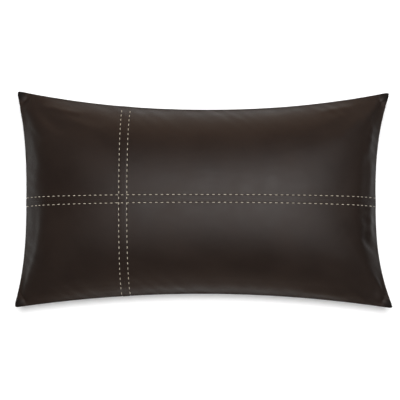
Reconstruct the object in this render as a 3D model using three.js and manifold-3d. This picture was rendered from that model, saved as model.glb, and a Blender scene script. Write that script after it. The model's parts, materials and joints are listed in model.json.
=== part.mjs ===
// A stuffed lumbar throw pillow lying on its back, stitched face up. Millimetres, +Z up, +X along the
// long side, +Y towards the top edge. The bottom (-Y) seam holds a recessed coil zip.
import * as THREE from "three";
import Module from "manifold-3d";

// Outline of the stuffed cover in plan: four corners, and the middle of each edge
const CORNER_TOP_LEFT = [-312.5, 187];
const CORNER_TOP_RIGHT = [320, 184.5];
const CORNER_BOTTOM_LEFT_X = -314.5;
const CORNER_BOTTOM_RIGHT_X = 323;
const LEFT_MIDDLE_X = -295.2;
const RIGHT_MIDDLE_X = 294.6;
const TOP_SAG = 31;
const BOTTOM_MIDDLE_Y = -155.3;
const BOTTOM_ARC_RADIUS = 2125;
const CORNER_BLUNTING = 4;
const BLUNTED_LENGTH = 20;
const SIDE_PULL_POWER = 2.7;
const TOP_PULL_POWER = 2.1;

// Where the cross of seams runs
const SEAM_X = -125.7;
const SEAM_Y = 1;

// Height of the knife-edge seam above the floor, and the fullness on each side of it
const SEAM_Z = 62;
const FRONT_CROWN = 95;
const BACK_CROWN = 80;
const BACK_FLATTEN_BLEND = 8;
// The crown's profile, 1 - |t| ** POWER raised to ROUNDNESS, across the cushion and up it
const CROWN_POWER = [3, 2.2];
const CROWN_ROUNDNESS = [0.58, 0.6];

// Leather, with its seam allowance folded back under it
const LEATHER = 1.2;
const FOLD_GAP = 0.3;
const ALLOWANCE = 11;
const FOLD_WIDTH = 1.5;
const TRIM = 26;
const EDGE_ROUND = 1.3;
const SEAM_GAP = 0.2;
const EDGE_GAP = 0.15;

// Topstitching: two rows beside each seam
const ROW_OFFSET = 6.8;
const STITCH_PITCH = 9.4;
const THREAD_HALF_WIDTH = 0.6;
const THREAD_HEIGHT = 0.9;
const THREAD_LIFT = 0.3;
const CROSSING_LIFT = 1.3;
const ROW_END_MARGIN = 3;

// Thread of the side seam
const SIDE_THREAD_INSET = 2.2;
const SIDE_THREAD_RADIUS = 0.3;

// Zip, measured inwards from the bottom edge
const MOUTH_HALF = 2.0;
const MOUTH_FULL_X = 258;
const MOUTH_END_X = 284;
const MOUTH_DEPTH = 20;
const ZIP_HALF_LENGTH = 232;
const TAPE_HALF_LENGTH = 245;
const COIL_S = [4.6, 6.4];
const COIL_Z = [0.5, 2.3];
const TAPE_THICKNESS = 0.6;
const TAPE_S = 5.5;
const STOP_LENGTH = 4;
const SLIDER_X = 225;
const SLIDER_LENGTH = 9;
const SLIDER_HALF_WIDTH = 3.4;
const SLIDER_TAIL_HALF_WIDTH = 2.7;
const SLIDER_NOSE_HALF_WIDTH = 2.4;
const SLIDER_OUTER_S = [3.2, 4.2];
const SLIDER_INNER_S = [6.9, 7.9];
const PIN_S = 1.8;
const PIN_RADIUS = 0.55;
const EYE_RADIUS = 0.6;
const EYE_OUTER_RADIUS = 1.2;
const TAB_LENGTH = 20;
const TAB_HALF_WIDTH = 2.0;
const TAB_THICKNESS = 0.8;

// Insert: cotton ticking filled with fibre
const INSERT_INSET_SIDE = 7;
const INSERT_INSET_BOTTOM = 13;
const INSERT_TOP_GAP = 4.2;
const TICKING = 0.5;
const FILL_GAP = 0.35;
const LABEL_WIDTH = 30;
const LABEL_LENGTH = 45;

const ARC_CENTRE_Y = BOTTOM_MIDDLE_Y - BOTTOM_ARC_RADIUS;

const mix = (a, b, t) => a + (b - a) * t;
const clamp = (x, a, b) => Math.min(b, Math.max(a, x));
const smooth = (x) => x * x * (3 - 2 * x);
const smallest = (a, b, k) => Math.min(a, b) - Math.max(k - Math.abs(a - b), 0) ** 2 / (4 * k);

// ---- the cover's outline and surfaces ----

function leftX(v) {
  const corner = v > 0 ? CORNER_TOP_LEFT[0] : CORNER_BOTTOM_LEFT_X;
  return mix(LEFT_MIDDLE_X, corner, Math.abs(v) ** SIDE_PULL_POWER);
}

function rightX(v) {
  const corner = v > 0 ? CORNER_TOP_RIGHT[0] : CORNER_BOTTOM_RIGHT_X;
  return mix(RIGHT_MIDDLE_X, corner, Math.abs(v) ** SIDE_PULL_POWER);
}

function topY(x) {
  const t = (x - CORNER_TOP_LEFT[0]) / (CORNER_TOP_RIGHT[0] - CORNER_TOP_LEFT[0]);
  const chord = mix(CORNER_TOP_LEFT[1], CORNER_TOP_RIGHT[1], t);
  return chord - TOP_SAG * (1 - Math.abs(clamp(2 * t - 1, -1, 1)) ** TOP_PULL_POWER);
}

function bottomY(x) {
  return ARC_CENTRE_Y + Math.sqrt(BOTTOM_ARC_RADIUS ** 2 - x * x);
}

// How far the edges of the bottom seam are held apart by the zip at x, with s the way in from the edge
function mouth(x, s) {
  const along = 1 - smooth(clamp((Math.abs(x) - MOUTH_FULL_X) / (MOUTH_END_X - MOUTH_FULL_X), 0, 1));
  return (MOUTH_HALF - EDGE_GAP) * along * clamp(1 - s / MOUTH_DEPTH, 0, 1);
}

// u runs 0..1 from the left edge to the right one, v runs -1..1 from the bottom edge to the top one
function plan(u, v) {
  const [l, r] = [leftX(v), rightX(v)];
  let x = mix(l, r, u);
  let y = v > 0 ? mix(SEAM_Y, topY(x), v) : mix(SEAM_Y, bottomY(x), -v);
  const dx = Math.min(x - l, r - x);
  const dy = v > 0 ? topY(x) - y : y - bottomY(x);
  const near = (d) => clamp(1 - d / BLUNTED_LENGTH, 0, 1) ** 2;
  const blunt = CORNER_BLUNTING * near(dx) * near(dy);
  x -= Math.sign(u - 0.5) * blunt;
  y -= Math.sign(v) * blunt;
  return [x, y];
}

function fullness(u, v) {
  const [across, up] = [2 * u - 1, v].map(
    (t, n) => Math.max(0, 1 - Math.abs(t) ** CROWN_POWER[n]) ** CROWN_ROUNDNESS[n],
  );
  return across * up;
}

function frontPoint(u, v) {
  const [x, y] = plan(u, v);
  const z = SEAM_Z + EDGE_GAP + EDGE_ROUND + mouth(x, y - bottomY(x)) + FRONT_CROWN * fullness(u, v);
  return new THREE.Vector3(x, y, z);
}

function backPoint(u, v) {
  const [x, y] = plan(u, v);
  const drop = EDGE_GAP + EDGE_ROUND + mouth(x, y - bottomY(x)) + BACK_CROWN * fullness(u, v);
  return new THREE.Vector3(x, y, SEAM_Z - smallest(drop, SEAM_Z, BACK_FLATTEN_BLEND));
}

// Unit normal of a surface given as a function of u and v, on the side away from the pillow's middle
function normalOf(surface, u, v, side) {
  const [du, dv] = [0.002, 0.007];
  const a = surface(clamp(u - du, 0, 1), v);
  const b = surface(clamp(u + du, 0, 1), v);
  const c = surface(u, clamp(v - dv, -1, 1));
  const d = surface(u, clamp(v + dv, -1, 1));
  return b.sub(a).cross(d.sub(c)).normalize().multiplyScalar(side);
}

// The point that lies a depth under the surface, never crossing the plane of the edge seam
function under(surface, side, u, v, depth) {
  const p = surface(u, v);
  const n = normalOf(surface, u, v, side);
  const height = (p.z - SEAM_Z) * side;
  const q = p.clone().addScaledVector(n, -depth);
  const kept = EDGE_GAP + 0.25 * (height - EDGE_GAP) * (1 - depth / 12);
  q.z = SEAM_Z + side * Math.max((q.z - SEAM_Z) * side, kept);
  return q;
}

const front = (u, v, depth) => under(frontPoint, 1, u, v, depth);
const back = (u, v, depth) => under(backPoint, -1, u, v, depth);

// ---- closed meshes ----

// The geometry of a closed surface, turned to face outwards
function facingOut(positions, index) {
  let volume = 0;
  const at = (n) => new THREE.Vector3(...positions.slice(3 * n, 3 * n + 3));
  for (let n = 0; n < index.length; n += 3) {
    const [a, b, c] = index.slice(n, n + 3).map(at);
    volume += a.dot(b.cross(c));
  }
  if (volume < 0) index.reverse();
  const g = new THREE.BufferGeometry();
  g.setAttribute("position", new THREE.Float32BufferAttribute(positions, 3));
  g.setIndex(index);
  return g;
}

// A solid made of the chosen cells of a lattice of ni x nj x nk points
function lattice(ni, nj, nk, point, chosen) {
  const positions = [];
  const index = [];
  const id = new Map();
  const at = (i, j, k) => {
    const key = (i * nj + j) * nk + k;
    if (!id.has(key)) {
      id.set(key, positions.length / 3);
      positions.push(...point(i, j, k).toArray());
    }
    return id.get(key);
  };
  const within = (i, j, k) => i >= 0 && j >= 0 && k >= 0 && i < ni - 1 && j < nj - 1 && k < nk - 1;
  const inside = (i, j, k) => within(i, j, k) && chosen(i, j, k);
  const quad = (a, b, c, d) => index.push(a, b, c, a, c, d);
  for (let i = 0; i < ni - 1; i++)
    for (let j = 0; j < nj - 1; j++)
      for (let k = 0; k < nk - 1; k++) {
        if (!inside(i, j, k)) continue;
        const p = (a, b, c) => at(i + a, j + b, k + c);
        if (!inside(i - 1, j, k)) quad(p(0, 0, 0), p(0, 0, 1), p(0, 1, 1), p(0, 1, 0));
        if (!inside(i + 1, j, k)) quad(p(1, 0, 0), p(1, 1, 0), p(1, 1, 1), p(1, 0, 1));
        if (!inside(i, j - 1, k)) quad(p(0, 0, 0), p(1, 0, 0), p(1, 0, 1), p(0, 0, 1));
        if (!inside(i, j + 1, k)) quad(p(0, 1, 0), p(0, 1, 1), p(1, 1, 1), p(1, 1, 0));
        if (!inside(i, j, k - 1)) quad(p(0, 0, 0), p(0, 1, 0), p(1, 1, 0), p(1, 0, 0));
        if (!inside(i, j, k + 1)) quad(p(0, 0, 1), p(1, 0, 1), p(1, 1, 1), p(0, 1, 1));
      }
  return facingOut(positions, index);
}

// A solid swept through a list of rings, each ring a list of points in the same order
function sweep(rings) {
  const n = rings[0].length;
  const positions = rings.flat().flatMap((p) => p.toArray());
  const index = [];
  for (let r = 0; r < rings.length - 1; r++)
    for (let k = 0; k < n; k++) {
      const [a, b] = [r * n + k, r * n + ((k + 1) % n)];
      index.push(a, b, b + n, a, b + n, a + n);
    }
  const last = (rings.length - 1) * n;
  for (let k = 1; k < n - 1; k++) {
    index.push(0, k + 1, k);
    index.push(last, last + k, last + k + 1);
  }
  return facingOut(positions, index);
}

// Distances along a side of a given length: close lines at both ends for the folds, even ones between
function lines(length, startGap, endGap, step) {
  const inner = length - 2 * TRIM;
  const count = Math.ceil(inner / step);
  const middle = Array.from({ length: count - 1 }, (_, n) => TRIM + (inner * (n + 1)) / count);
  const ends = [length - TRIM, length - ALLOWANCE, length - FOLD_WIDTH, length - endGap];
  return [startGap, FOLD_WIDTH, ALLOWANCE, TRIM, ...middle, ...ends];
}

// ---- leather panels ----

const LEFT_WIDTH = 182;
const RIGHT_WIDTH = 432;
const HALF_HEIGHT = 170;
const SEAM_LEVELS = [0, LEATHER, LEATHER + FOLD_GAP, 2 * LEATHER + FOLD_GAP];

// u of a point at distance d along a panel on one side of the upright seam, on the line v
function panelU(v, side, d) {
  const [l, r] = [leftX(v), rightX(v)];
  const seam = (SEAM_X - l) / (r - l);
  return side < 0 ? (d / LEFT_WIDTH) * seam : 1 - (1 - d / RIGHT_WIDTH) * (1 - seam);
}

function panelV(side, d) {
  return side < 0 ? -1 + d / HALF_HEIGHT : d / HALF_HEIGHT;
}

// Which lattice cells are leather: the skin everywhere, the fold, and the allowance lying under the skin
function leatherCells(ni, nj) {
  return (i, j, k) => {
    const [ei, ej] = [Math.min(i, ni - 2 - i), Math.min(j, nj - 2 - j)];
    const besideSide = ei < 2 && ej >= 3;
    const besideEnd = ej < 2 && ei >= 3;
    if (k === 0) return true;
    if (k === 1) return (ei === 0 && besideSide) || (ej === 0 && besideEnd);
    return besideSide || besideEnd;
  };
}

const COLUMNS_LEFT = lines(LEFT_WIDTH, 0, SEAM_GAP, 34);
const COLUMNS_RIGHT = lines(RIGHT_WIDTH, SEAM_GAP, 0, 39);
const ROWS_LOWER = lines(HALF_HEIGHT, 0, SEAM_GAP, 40);
const ROWS_UPPER = lines(HALF_HEIGHT, SEAM_GAP, 0, 40);

function frontPanel(sideX, sideY) {
  const columns = sideX < 0 ? COLUMNS_LEFT : COLUMNS_RIGHT;
  const rows = sideY < 0 ? ROWS_LOWER : ROWS_UPPER;
  const point = (i, j, k) => {
    const v = panelV(sideY, rows[j]);
    return front(panelU(v, sideX, columns[i]), v, SEAM_LEVELS[k]);
  };
  const cells = leatherCells(columns.length, rows.length);
  return lattice(columns.length, rows.length, 4, point, cells);
}

const FULL_WIDTH = LEFT_WIDTH + RIGHT_WIDTH;
const COLUMNS_BACK = lines(FULL_WIDTH, 0, 0, 40);
const ROWS_BACK = lines(2 * HALF_HEIGHT, 0, 0, 38);

function backPanel() {
  const point = (i, j, k) => {
    return back(COLUMNS_BACK[i] / FULL_WIDTH, -1 + ROWS_BACK[j] / HALF_HEIGHT, SEAM_LEVELS[k]);
  };
  const cells = leatherCells(COLUMNS_BACK.length, ROWS_BACK.length);
  return lattice(COLUMNS_BACK.length, ROWS_BACK.length, 4, point, cells);
}

// ---- threads ----

// A point on the faceted leather of the front, where the lattice lines are joined by straight lines
function facetPoint(sideX, sideY, dx, dy) {
  const columns = sideX < 0 ? COLUMNS_LEFT : COLUMNS_RIGHT;
  const rows = sideY < 0 ? ROWS_LOWER : ROWS_UPPER;
  const find = (list, d) => {
    let n = 0;
    while (n < list.length - 2 && list[n + 1] < d) n++;
    return [n, clamp((d - list[n]) / (list[n + 1] - list[n]), 0, 1)];
  };
  const [i, s] = find(columns, dx);
  const [j, t] = find(rows, dy);
  const p = (a, b) => {
    const v = panelV(sideY, rows[b]);
    return front(panelU(v, sideX, columns[a]), v, 0);
  };
  const low = p(i, j).lerp(p(i + 1, j), s);
  return low.lerp(p(i, j + 1).lerp(p(i + 1, j + 1), s), t);
}

// One row of stitches: a strand that is full on each stitch and pinched down where it enters the leather
function stitchRow(pointAt, length, liftAt) {
  const count = Math.round((length - 2 * ROW_END_MARGIN) / STITCH_PITCH);
  const pitch = (length - 2 * ROW_END_MARGIN) / count;
  const rings = [];
  for (let n = 0; n < count; n++)
    for (const [part, full] of [[0, 0], [0.22, 1], [0.6, 1]]) {
      const d = ROW_END_MARGIN + (n + part) * pitch;
      rings.push(stitchRing(pointAt, d, length, full, liftAt(d)));
    }
  rings.push(stitchRing(pointAt, length - ROW_END_MARGIN, length, 0, liftAt(length)));
  return sweep(rings);
}

function stitchRing(pointAt, d, length, full, lift) {
  const p = pointAt(d);
  const along = pointAt(Math.min(d + 1, length)).sub(pointAt(Math.max(d - 1, 0))).normalize();
  const across = along.clone().cross(new THREE.Vector3(0, 0, 1)).normalize();
  const up = across.clone().cross(along).normalize();
  const half = THREAD_HALF_WIDTH * mix(0.55, 1, full);
  const height = THREAD_HEIGHT * mix(0.4, 1, full);
  const corner = (a, b) => p.clone().addScaledVector(across, a).addScaledVector(up, b);
  const base = THREAD_LIFT + lift;
  const top = base + height;
  return [corner(-half * 0.5, top), corner(half * 0.5, top), corner(half, base), corner(-half, base)];
}

// Distance along the whole face turned into a panel and a distance on it
function acrossSeam(d, seamAt) {
  return d < seamAt ? [-1, Math.min(d, seamAt - SEAM_GAP)] : [1, Math.max(d - seamAt, SEAM_GAP)];
}

function uprightRow(sideX) {
  const dx = sideX < 0 ? LEFT_WIDTH - ROW_OFFSET : ROW_OFFSET;
  const pointAt = (d) => {
    const [sideY, dy] = acrossSeam(d, HALF_HEIGHT);
    return facetPoint(sideX, sideY, dx, dy);
  };
  return stitchRow(pointAt, 2 * HALF_HEIGHT, (d) => endLift(d, 2 * HALF_HEIGHT));
}

// The strand stands a little further off where the leather turns down to the edge seam
function endLift(d, length) {
  return 0.45 * (1 - clamp((Math.min(d, length - d) - 20) / 10, 0, 1));
}

// The level rows were sewn last, so they pass over the upright ones
function levelRow(sideY) {
  const dy = sideY < 0 ? HALF_HEIGHT - ROW_OFFSET : ROW_OFFSET;
  const pointAt = (d) => {
    const [sideX, dx] = acrossSeam(d, LEFT_WIDTH);
    return facetPoint(sideX, sideY, dx, dy);
  };
  const liftAt = (d) => {
    const near = Math.min(Math.abs(d - LEFT_WIDTH + ROW_OFFSET), Math.abs(d - LEFT_WIDTH - ROW_OFFSET));
    return CROSSING_LIFT * (1 - clamp((near - 3.5) / 3, 0, 1)) + endLift(d, FULL_WIDTH);
  };
  return stitchRow(pointAt, FULL_WIDTH, liftAt);
}

// The lockstitch that joins front and back, in the groove of the edge seam, open where the zip is
function sideSeamThread() {
  const path = [];
  const go = (u, v) => {
    const [x, y] = plan(u, v);
    const w = new THREE.Vector3(x, y, SEAM_Z);
    const inX = clamp(1 - Math.min(u, 1 - u) / 0.002, 0, 1) * SIDE_THREAD_INSET;
    const inY = clamp(1 - (1 - Math.abs(v)) / 0.005, 0, 1) * SIDE_THREAD_INSET;
    w.x += u < 0.5 ? inX : -inX;
    w.y += v < 0 ? inY : -inY;
    path.push(w);
  };
  const uAt = (x) => (x - leftX(-1)) / (rightX(-1) - leftX(-1));
  const [zipLeft, zipRight] = [uAt(-TAPE_HALF_LENGTH - 26), uAt(TAPE_HALF_LENGTH + 26)];
  for (const t of [1, 0.6, 0.25, 0]) go(zipLeft * t, -1);
  for (let n = 1; n < 14; n++) go(0, -Math.cos((Math.PI * n) / 14));
  for (let n = 0; n <= 24; n++) go(0.5 - 0.5 * Math.cos((Math.PI * n) / 24), 1);
  for (let n = 1; n < 14; n++) go(1, Math.cos((Math.PI * n) / 14));
  for (const t of [0, 0.25, 0.6, 1]) go(1 - (1 - zipRight) * t, -1);
  const rings = path.map((p, n) => {
    const ahead = path[Math.min(n + 1, path.length - 1)];
    const behind = path[Math.max(n - 1, 0)];
    const along = ahead.clone().sub(behind).normalize();
    const across = along.clone().cross(new THREE.Vector3(0, 0, 1));
    return Array.from({ length: 6 }, (_, k) => {
      const a = (k * Math.PI) / 3;
      const q = p.clone().addScaledVector(across, SIDE_THREAD_RADIUS * Math.cos(a));
      q.z += SIDE_THREAD_RADIUS * Math.sin(a);
      return q;
    });
  });
  return sweep(rings);
}

// ---- zip ----

// A point beside the bottom edge: s inwards from the edge, x along it, z from the seam's plane
function zipPoint(s, x, z) {
  const angle = Math.asin(x / BOTTOM_ARC_RADIUS);
  const r = BOTTOM_ARC_RADIUS + s;
  return new THREE.Vector3(r * Math.sin(angle), ARC_CENTRE_Y + r * Math.cos(angle), SEAM_Z + z);
}

function barAlongZip(section, x0, x1, step) {
  const count = Math.max(1, Math.round((x1 - x0) / step));
  const rings = [];
  for (let n = 0; n <= count; n++) {
    const x = mix(x0, x1, n / count);
    rings.push(section.map(([s, z]) => zipPoint(s, x, z)));
  }
  return sweep(rings);
}

function coil(side) {
  const [s0, s1] = COIL_S;
  const [z0, z1] = COIL_Z;
  const c = 0.45;
  const half = [[s0 + c, z0], [s1 - c, z0], [s1, z0 + c], [s1, z1 - c], [s1 - c, z1], [s0 + c, z1]];
  const section = [...half, [s0, z1 - c], [s0, z0 + c]].map(([s, z]) => [s, z * side]);
  return barAlongZip(section, -ZIP_HALF_LENGTH, ZIP_HALF_LENGTH, 14);
}

// The tape starts beside the coil and then lies against the inside of the folded leather
function tape(side) {
  const xs = tapeColumns();
  const panel = side > 0 ? front : back;
  const point = (i, j, k) => {
    const x = xs[i];
    const inner = k * TAPE_THICKNESS;
    if (j < 2) return zipPoint(TAPE_S - TAPE_THICKNESS / 2 + inner, x, side * (j ? 4.6 : 2.7));
    const [near, far] = [allowanceFace(panel, x, FOLD_WIDTH), allowanceFace(panel, x, ALLOWANCE)];
    const down = far.clone().sub(near).normalize();
    const off = new THREE.Vector3(0, 1, 0).addScaledVector(down, -down.y).normalize();
    return near.addScaledVector(down, j === 2 ? 0.5 : 5).addScaledVector(off, 0.7 + inner);
  };
  return lattice(xs.length, 4, 2, point, () => true);
}

function allowanceFace(panel, x, d) {
  const v = -1 + d / HALF_HEIGHT;
  return panel((x - leftX(v)) / (rightX(v) - leftX(v)), v, 2 * LEATHER + FOLD_GAP);
}

function tapeColumns() {
  const count = 28;
  return Array.from({ length: count + 1 }, (_, n) => mix(-TAPE_HALF_LENGTH, TAPE_HALF_LENGTH, n / count));
}

function topStop(side) {
  const section = [[4.3, 0.5], [6.7, 0.5], [6.7, 2.35], [4.3, 2.35]].map(([s, z]) => [s, z * side]);
  const from = ZIP_HALF_LENGTH + 0.4;
  return barAlongZip(section, from, from + STOP_LENGTH, 4);
}

function bottomStop() {
  const section = [[4.3, -2.35], [6.7, -2.35], [6.7, 2.35], [4.3, 2.35]];
  const to = -ZIP_HALF_LENGTH - 0.4;
  return barAlongZip(section, to - STOP_LENGTH, to, 4);
}

// ---- slider and pull, drawn with +X along the zip, +Y inwards from the edge, then set in place ----

function solid(wasm, geometry) {
  const g = geometry.index ? geometry.toNonIndexed() : geometry;
  const p = g.getAttribute("position");
  const key = new Map();
  const verts = [];
  const tris = [];
  for (let n = 0; n < p.count; n++) {
    const v = [p.getX(n), p.getY(n), p.getZ(n)].map((c) => Math.round(c * 1e4) / 1e4);
    const k = v.join();
    if (!key.has(k)) {
      key.set(k, verts.length / 3);
      verts.push(...v);
    }
    tris.push(key.get(k));
  }
  const kept = [];
  for (let n = 0; n < tris.length; n += 3) {
    const [a, b, c] = tris.slice(n, n + 3);
    if (a !== b && b !== c && a !== c) kept.push(a, b, c);
  }
  const mesh = { numProp: 3, vertProperties: new Float32Array(verts), triVerts: new Uint32Array(kept) };
  return new wasm.Manifold(new wasm.Mesh(mesh));
}

function geometryOf(manifold) {
  const m = manifold.getMesh();
  const g = new THREE.BufferGeometry();
  g.setAttribute("position", new THREE.BufferAttribute(new Float32Array(m.vertProperties), 3));
  g.setIndex(new THREE.BufferAttribute(new Uint32Array(m.triVerts), 1));
  return g;
}

function box(x0, x1, y0, y1, z0, z1) {
  const g = new THREE.BoxGeometry(x1 - x0, y1 - y0, z1 - z0);
  return g.translate((x0 + x1) / 2, (y0 + y1) / 2, (z0 + z1) / 2);
}

// A plate outlined in x and z, from y0 to y1
function plate(outline, y0, y1) {
  const shape = new THREE.Shape(outline.map(([x, z]) => new THREE.Vector2(x, z)));
  const g = new THREE.ExtrudeGeometry(shape, { depth: y1 - y0, bevelEnabled: false });
  return g.rotateX(Math.PI / 2).translate(0, y1, 0);
}

function placeOnZip(geometry) {
  const angle = Math.asin(SLIDER_X / BOTTOM_ARC_RADIUS);
  geometry.rotateZ(-angle);
  const p = zipPoint(0, SLIDER_X, 0);
  return geometry.translate(p.x, p.y, p.z);
}

function sliderBody(wasm) {
  const [h, w] = [SLIDER_LENGTH / 2, SLIDER_HALF_WIDTH];
  const below = [[-h, -SLIDER_TAIL_HALF_WIDTH], [-h + 3, -w], [h - 1, -w], [h, -SLIDER_NOSE_HALF_WIDTH]];
  const outline = [...below, ...below.map(([x, z]) => [x, -z]).reverse()];
  const [o0, o1] = SLIDER_OUTER_S;
  const [i0, i1] = SLIDER_INNER_S;
  let body = solid(wasm, plate(outline, o0, o1)).add(solid(wasm, plate(outline, i0, i1)));
  body = body.add(solid(wasm, box(h - 3.4, h - 0.4, o1 - 0.3, i0 + 0.3, -0.3, 0.3)));
  for (const side of [-1, 1]) {
    const [z0, z1] = side > 0 ? [2.75, w] : [-w, -2.75];
    body = body.add(solid(wasm, box(-h + 3, h - 1, o1 - 0.3, o1 + 0.5, z0, z1)));
    body = body.add(solid(wasm, box(-h + 3, h - 1, i0 - 0.5, i0 + 0.3, z0, z1)));
    const [e0, e1] = side > 0 ? [1.55, 2.05] : [-2.05, -1.55];
    body = body.add(solid(wasm, box(-1.1, 1.1, 0.95, o0 + 0.3, e0, e1)));
  }
  const pin = new THREE.CylinderGeometry(PIN_RADIUS, PIN_RADIUS, 3.6, 24).rotateX(Math.PI / 2);
  body = body.add(solid(wasm, pin.translate(0, PIN_S, 0)));
  return placeOnZip(geometryOf(body));
}

function pullTab(wasm) {
  const eye = new THREE.CylinderGeometry(EYE_OUTER_RADIUS, EYE_OUTER_RADIUS, 2.6, 24).rotateX(Math.PI / 2);
  const hole = new THREE.CylinderGeometry(EYE_RADIUS, EYE_RADIUS, 4, 24).rotateX(Math.PI / 2);
  const [n, w, l] = [1.3, TAB_HALF_WIDTH, TAB_LENGTH];
  const ends = [[-l + 1.2, w], [-l, w - 1.2], [-l, -w + 1.2], [-l + 1.2, -w]];
  const outline = [[-0.5, -n], [-0.5, n], [-3.5, n], [-6, w], ...ends, [-6, -w], [-3.5, -n]];
  const blade = plate(outline.reverse(), PIN_S - TAB_THICKNESS / 2, PIN_S + TAB_THICKNESS / 2);
  let body = solid(wasm, eye.translate(0, PIN_S, 0)).add(solid(wasm, blade));
  const slot = solid(wasm, box(-l + 4, -7.5, PIN_S - 1, PIN_S + 1, -0.9, 0.9));
  body = body.subtract(solid(wasm, hole.translate(0, PIN_S, 0))).subtract(slot);
  return placeOnZip(geometryOf(body));
}

// ---- insert ----

// The insert's own surface: smaller in plan than the cover, and a little less full
function insertPoint(side) {
  return (u, v) => {
    const [x, y] = plan(u, v);
    const [l, r] = [leftX(v), rightX(v)];
    const [t, b] = [topY(x), bottomY(x)];
    const px = mix(l + INSERT_INSET_SIDE, r - INSERT_INSET_SIDE, (x - l) / (r - l));
    const py = mix(b + INSERT_INSET_BOTTOM, t - INSERT_INSET_SIDE, (y - b) / (t - b));
    const rim = EDGE_GAP + 0.6;
    const full = fullness(u, v);
    if (side > 0) return new THREE.Vector3(px, py, SEAM_Z + rim + (FRONT_CROWN - INSERT_TOP_GAP) * full);
    const drop = rim + (BACK_CROWN - INSERT_TOP_GAP) * full;
    return new THREE.Vector3(px, py, SEAM_Z - smallest(drop, SEAM_Z - INSERT_TOP_GAP, BACK_FLATTEN_BLEND));
  };
}

const INSERT_COLUMNS = [
  0, 2, 14, 34, 74, 114, 154, 200, 246, 292, 338, 384, 430, 470, 510, 550, 580, 600, 612, 614,
];
const INSERT_ROWS = [0, 2, 14, 34, 68, 102, 136, 170, 204, 238, 272, 306, 326, 338, 340];

function insertAt(side, i, j, depth) {
  const [u, v] = [INSERT_COLUMNS[i] / FULL_WIDTH, -1 + INSERT_ROWS[j] / HALF_HEIGHT];
  return under(insertPoint(side), side, u, v, depth);
}

function ticking(side) {
  const point = (i, j, k) => insertAt(side, i, j, k * TICKING);
  return lattice(INSERT_COLUMNS.length, INSERT_ROWS.length, 2, point, () => true);
}

function filling() {
  const depth = TICKING + FILL_GAP;
  const [ni, nj] = [INSERT_COLUMNS.length - 2, INSERT_ROWS.length - 2];
  const point = (i, j, k) => insertAt(k ? 1 : -1, i + 1, j + 1, depth);
  return lattice(ni, nj, 2, point, () => true);
}

// A blank woven label lying against the ticking, caught in the insert's side seam
function careLabel() {
  const surface = insertPoint(1);
  const n = 4;
  const point = (i, j, k) => {
    const u = 0.985 - (LABEL_LENGTH / FULL_WIDTH) * (i / n);
    const v = -0.35 + (LABEL_WIDTH / HALF_HEIGHT) * (j / 2);
    return surface(u, v).addScaledVector(normalOf(surface, u, v, 1), 0.5 + 0.35 * k);
  };
  return lattice(n + 1, 3, 2, point, () => true);
}

// ---- assembly ----

const wasm = await Module();
wasm.setup();

const MATERIALS = {
  leather: new THREE.MeshStandardMaterial({ color: 0x3b302b, roughness: 0.45 }),
  thread: new THREE.MeshStandardMaterial({ color: 0xcfc4ac, roughness: 0.8 }),
  seamThread: new THREE.MeshStandardMaterial({ color: 0x2a211d, roughness: 0.8 }),
  tape: new THREE.MeshStandardMaterial({ color: 0x2b2522, roughness: 0.9 }),
  coil: new THREE.MeshStandardMaterial({ color: 0x241f1c, roughness: 0.5 }),
  metal: new THREE.MeshStandardMaterial({ color: 0x5a4f45, roughness: 0.35, metalness: 0.9 }),
  ticking: new THREE.MeshStandardMaterial({ color: 0xe9e4d8, roughness: 0.95 }),
  filling: new THREE.MeshStandardMaterial({ color: 0xf4f2ec, roughness: 1 }),
  label: new THREE.MeshStandardMaterial({ color: 0xf7f6f2, roughness: 0.7 }),
};

const root = new THREE.Group();
root.name = "throw_pillow";

function add(name, material, geometry) {
  const mesh = new THREE.Mesh(geometry, MATERIALS[material]);
  mesh.name = name;
  root.add(mesh);
}

add("front_panel_upper_left", "leather", frontPanel(-1, 1));
add("front_panel_upper_right", "leather", frontPanel(1, 1));
add("front_panel_lower_left", "leather", frontPanel(-1, -1));
add("front_panel_lower_right", "leather", frontPanel(1, -1));
add("back_panel", "leather", backPanel());
add("topstitch_upright_left", "thread", uprightRow(-1));
add("topstitch_upright_right", "thread", uprightRow(1));
add("topstitch_level_upper", "thread", levelRow(1));
add("topstitch_level_lower", "thread", levelRow(-1));
add("side_seam_thread", "seamThread", sideSeamThread());
add("zipper_tape_front", "tape", tape(1));
add("zipper_tape_back", "tape", tape(-1));
add("zipper_coil_front", "coil", coil(1));
add("zipper_coil_back", "coil", coil(-1));
add("zipper_top_stop_front", "metal", topStop(1));
add("zipper_top_stop_back", "metal", topStop(-1));
add("zipper_bottom_stop", "metal", bottomStop());
add("zipper_slider", "metal", sliderBody(wasm));
add("zipper_pull_tab", "metal", pullTab(wasm));
add("insert_ticking_front", "ticking", ticking(1));
add("insert_ticking_back", "ticking", ticking(-1));
add("insert_filling", "filling", filling());
add("insert_care_label", "label", careLabel());

// The frame's origin is under the middle of the whole pillow
const middle = new THREE.Box3().setFromObject(root, true).getCenter(new THREE.Vector3());
root.position.set(-middle.x, -middle.y, 0);

export default root;
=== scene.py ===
import json
import math

import bpy
import numpy as np
from mathutils import Matrix, Vector


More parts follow.
